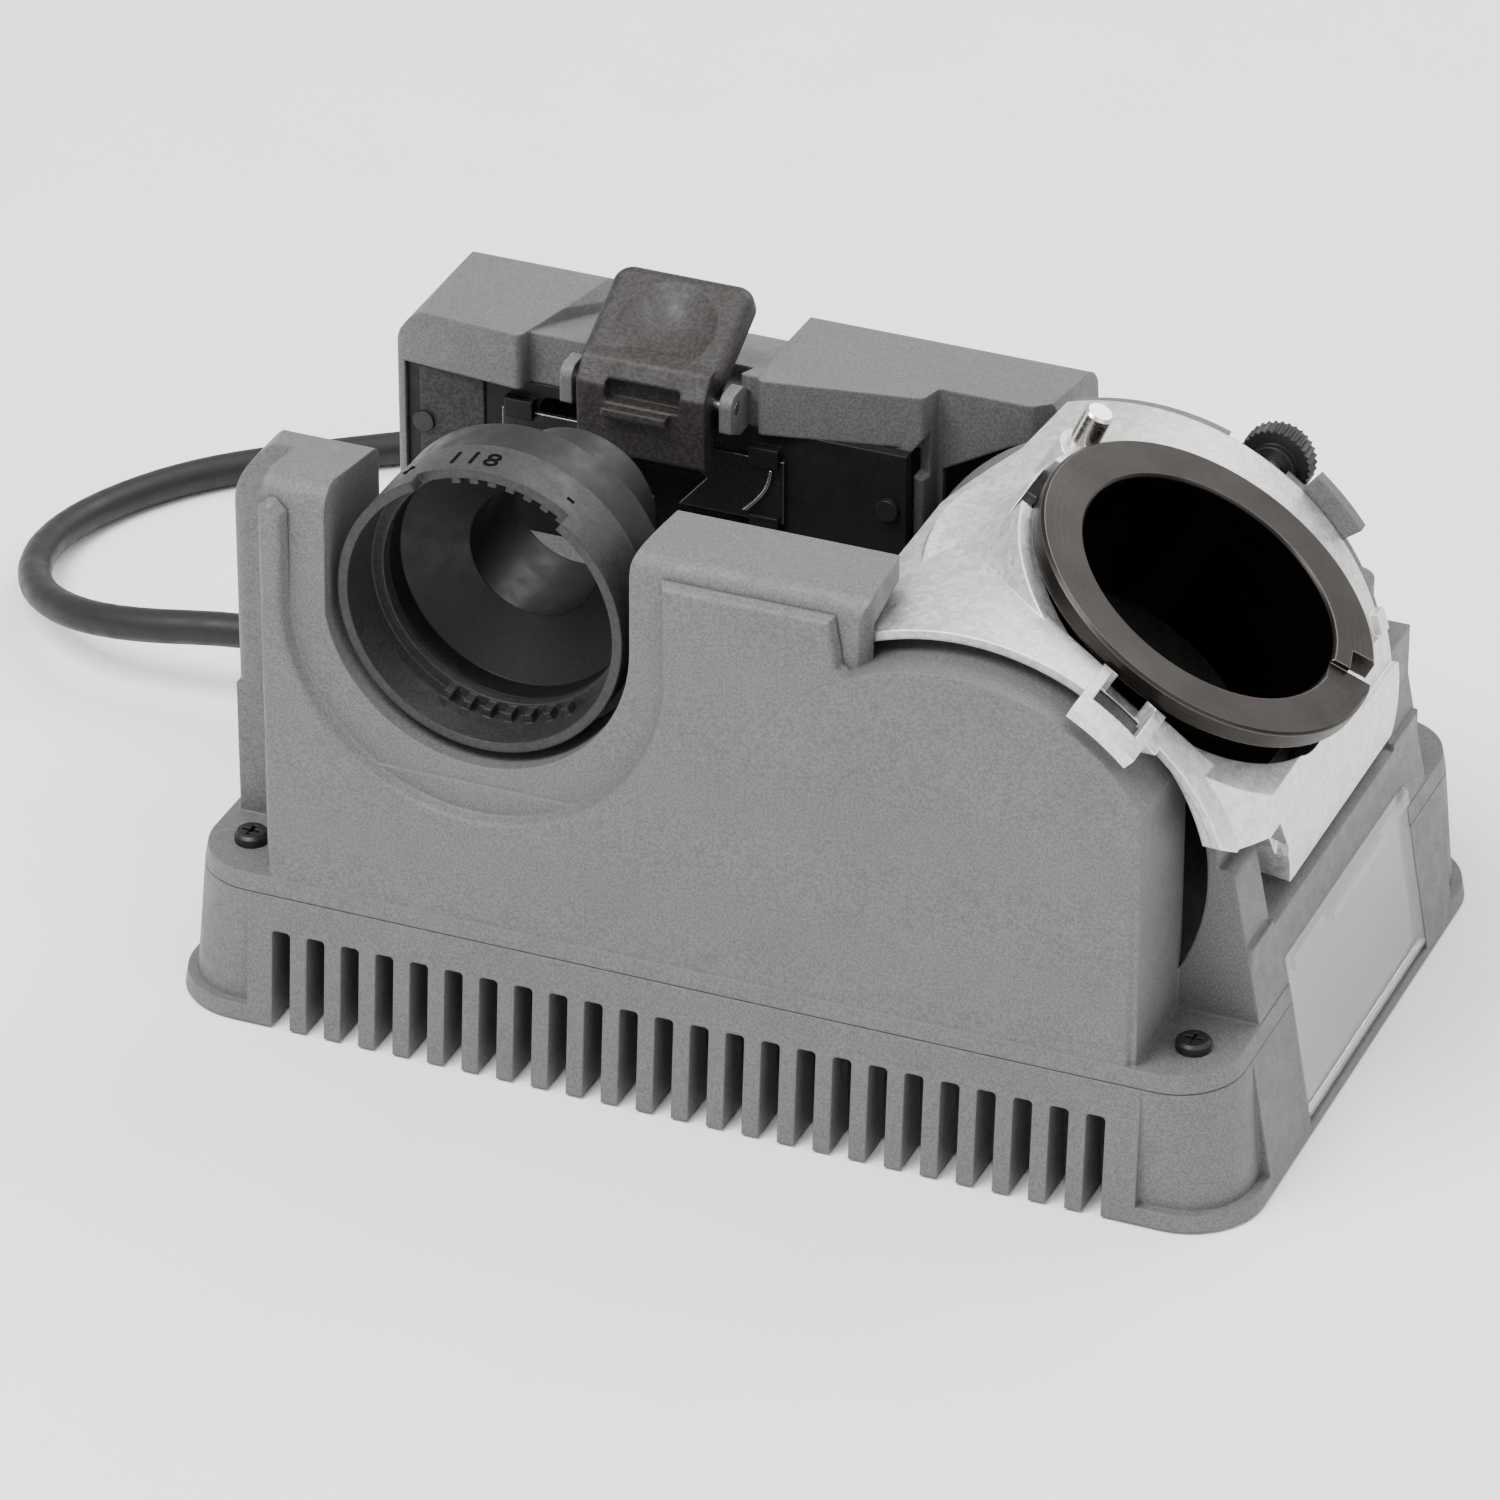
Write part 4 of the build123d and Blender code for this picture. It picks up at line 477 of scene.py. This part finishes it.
def power_cord():
    points = [Vector(p) for p in ROUTE] + coil_points()
    curve = bpy.data.curves.new("mains_lead", "CURVE")
    curve.dimensions = "3D"
    curve.bevel_depth = CORD_R
    curve.bevel_resolution = 6
    curve.use_fill_caps = True
    spline = curve.splines.new("NURBS")
    spline.points.add(len(points) - 1)
    for point, place in zip(spline.points, points):
        point.co = (*(place * MM), 1)
    spline.order_u = 3
    spline.use_endpoint_u = True
    spline.resolution_u = 6
    curve.materials.append(MATERIALS["cord"])
    lead = bpy.data.objects.new("mains_lead", curve)
    bpy.context.collection.objects.link(lead)
    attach(lead, "base")
    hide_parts("power_cord", "cord_coil")


power_cord()


# ---------------------------------------------------------------- small pieces
def add_piece(name, mesh, body, material):
    """Hangs a new piece on a body and its own finish."""
    piece = bpy.data.objects.new(name, mesh)
    bpy.context.collection.objects.link(piece)
    mesh.materials.append(material)
    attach(piece, body)
    return piece


def dial_marks():
    """Numbers and signs of the point-angle scale, raised on top of the port's collar and painted near-black as the
    shade of engraved marks.
    """
    centre = joint_place("port_adjust")
    low, high = node_corners("port_dial")
    collar_r = (high.x - low.x) / 2
    baseline_y = low.y + 6.8
    size, thickness, sunk = 7.6, 0.22, 0.05
    # character and its angle about the port's axis, from +X over the top
    marks = [("+", 127.0), ("1", 105.5), ("1", 98.0), ("8", 90.5), ("-", 57.0)]
    for number, (character, angle) in enumerate(marks):
        font = bpy.data.curves.new(f"dial_mark_{number}", "FONT")
        font.body = character
        font.size = size * MM
        font.extrude = thickness * MM
        font.align_x = "CENTER"
        outwards = Vector((cos(radians(angle)), 0, sin(radians(angle))))
        across = Vector((sin(radians(angle)), 0, -cos(radians(angle))))
        place = centre + outwards * (collar_r - sunk) + Vector((0, baseline_y, 0))
        piece = add_piece(f"dial_mark_{number}", font, "port", MARK_PAINTED_SHADE)
        turn = Matrix((across, (0, 1, 0), outwards)).transposed().to_4x4()
        piece.matrix_world = Matrix.Translation(place * MM) @ turn


def frame_plate():
    """Dark textured plate on the left of the alignment frame, with rounded edges."""
    frame_low, frame_high = node_corners("alignment_frame")
    low = frame_low + Vector((3.3, 1.9, 0.6))
    high = Vector((low.x + 16.4, low.y + 0.9, frame_high.z - 0.6))
    rounding = 0.3
    mesh = bmesh.new()
    bmesh.ops.create_cube(mesh, size=1)
    bmesh.ops.scale(mesh, vec=(high - low) * MM, verts=mesh.verts)
    bmesh.ops.translate(mesh, vec=(low + high) / 2 * MM, verts=mesh.verts)
    bmesh.ops.bevel(
        mesh, geom=mesh.edges, offset=rounding * MM, segments=3, affect="EDGES", profile=0.5
    )
    data = bpy.data.meshes.new("frame_plate")
    mesh.to_mesh(data)
    mesh.free()
    add_piece("frame_plate", data, "base", PLATE)


def pawl_arm():
    """Curved bright finger that stands just in front of the right pawl."""
    low, _ = node_corners("pawl_right")
    foot_x, foot_z = low.x + 16.6, low.z + 2.2
    front, back = low.y - 0.95, low.y - 0.1
    lean, bow, height = 6.6, 1.6, 11.6
    width, taper = 1.1, 0.45
    steps = 12
    mesh = bmesh.new()
    rows = []
    for step in range(steps + 1):
        along = step / steps
        x = foot_x + lean * along + bow * sin(radians(180 * along))
        z = foot_z + height * along
        half = width * (1 - taper * along) / 2
        left, right = x - half, x + half
        rows.append([
            mesh.verts.new(Vector(place) * MM)
            for place in ((left, front, z), (right, front, z), (right, back, z), (left, back, z))
        ])
    for row, following in zip(rows, rows[1:]):
        for corner in range(4):
            after = (corner + 1) % 4
            mesh.faces.new((row[corner], row[after], following[after], following[corner]))
    mesh.faces.new(reversed(rows[0]))
    mesh.faces.new(rows[-1])
    data = bpy.data.meshes.new("pawl_arm")
    bmesh.ops.recalc_face_normals(mesh, faces=mesh.faces)
    mesh.to_mesh(data)
    mesh.free()
    add_piece("pawl_arm", data, "right_pawl", MATERIALS["bright_steel"])


def rear_dome_cap():
    """Moulded end wall that closes the arch of the rear dome."""
    centre = joint_place("carriage_swing")
    radius, rise, front, back = 31.0, 2.2, 69.5, 72.0
    rings, steps = 6, 36
    mesh = bmesh.new()
    rows = []
    for ring in range(rings + 1):
        # the outside bulges a little to the rear in the middle
        share = ring / rings
        depth = back + rise * cos(radians(90 * share))
        rows.append([
            mesh.verts.new((centre + Vector((
                radius * share * cos(radians(180 * step / steps)), depth,
                radius * share * sin(radians(180 * step / steps)),
            ))) * MM)
            for step in range(steps + 1)
        ])
    for row, following in zip(rows[1:], rows[2:]):
        for step in range(steps):
            mesh.faces.new((row[step], row[step + 1], following[step + 1], following[step]))
    for step in range(steps):
        mesh.faces.new((rows[0][0], rows[1][step + 1], rows[1][step]))
    bmesh.ops.delete(mesh, geom=rows[0][1:], context="VERTS")
    # flat inside face, joined to the outside round its whole edge
    left_edge = [row[-1] for row in reversed(rows[1:-1])]
    right_edge = [row[0] for row in rows[1:-1]]
    outline = rows[-1] + left_edge + [rows[0][0]] + right_edge
    inner = [mesh.verts.new((vert.co.x, front * MM, vert.co.z)) for vert in outline]
    count = len(outline)
    for place in range(count):
        after = (place + 1) % count
        mesh.faces.new((outline[place], outline[after], inner[after], inner[place]))
    mesh.faces.new(inner)
    bmesh.ops.recalc_face_normals(mesh, faces=mesh.faces)
    data = bpy.data.meshes.new("rear_dome_cap")
    mesh.to_mesh(data)
    mesh.free()
    data.shade_smooth()
    add_piece("rear_dome_cap", data, "base", MATERIALS["housing"])


dial_marks()
rear_dome_cap()
frame_plate()
pawl_arm()
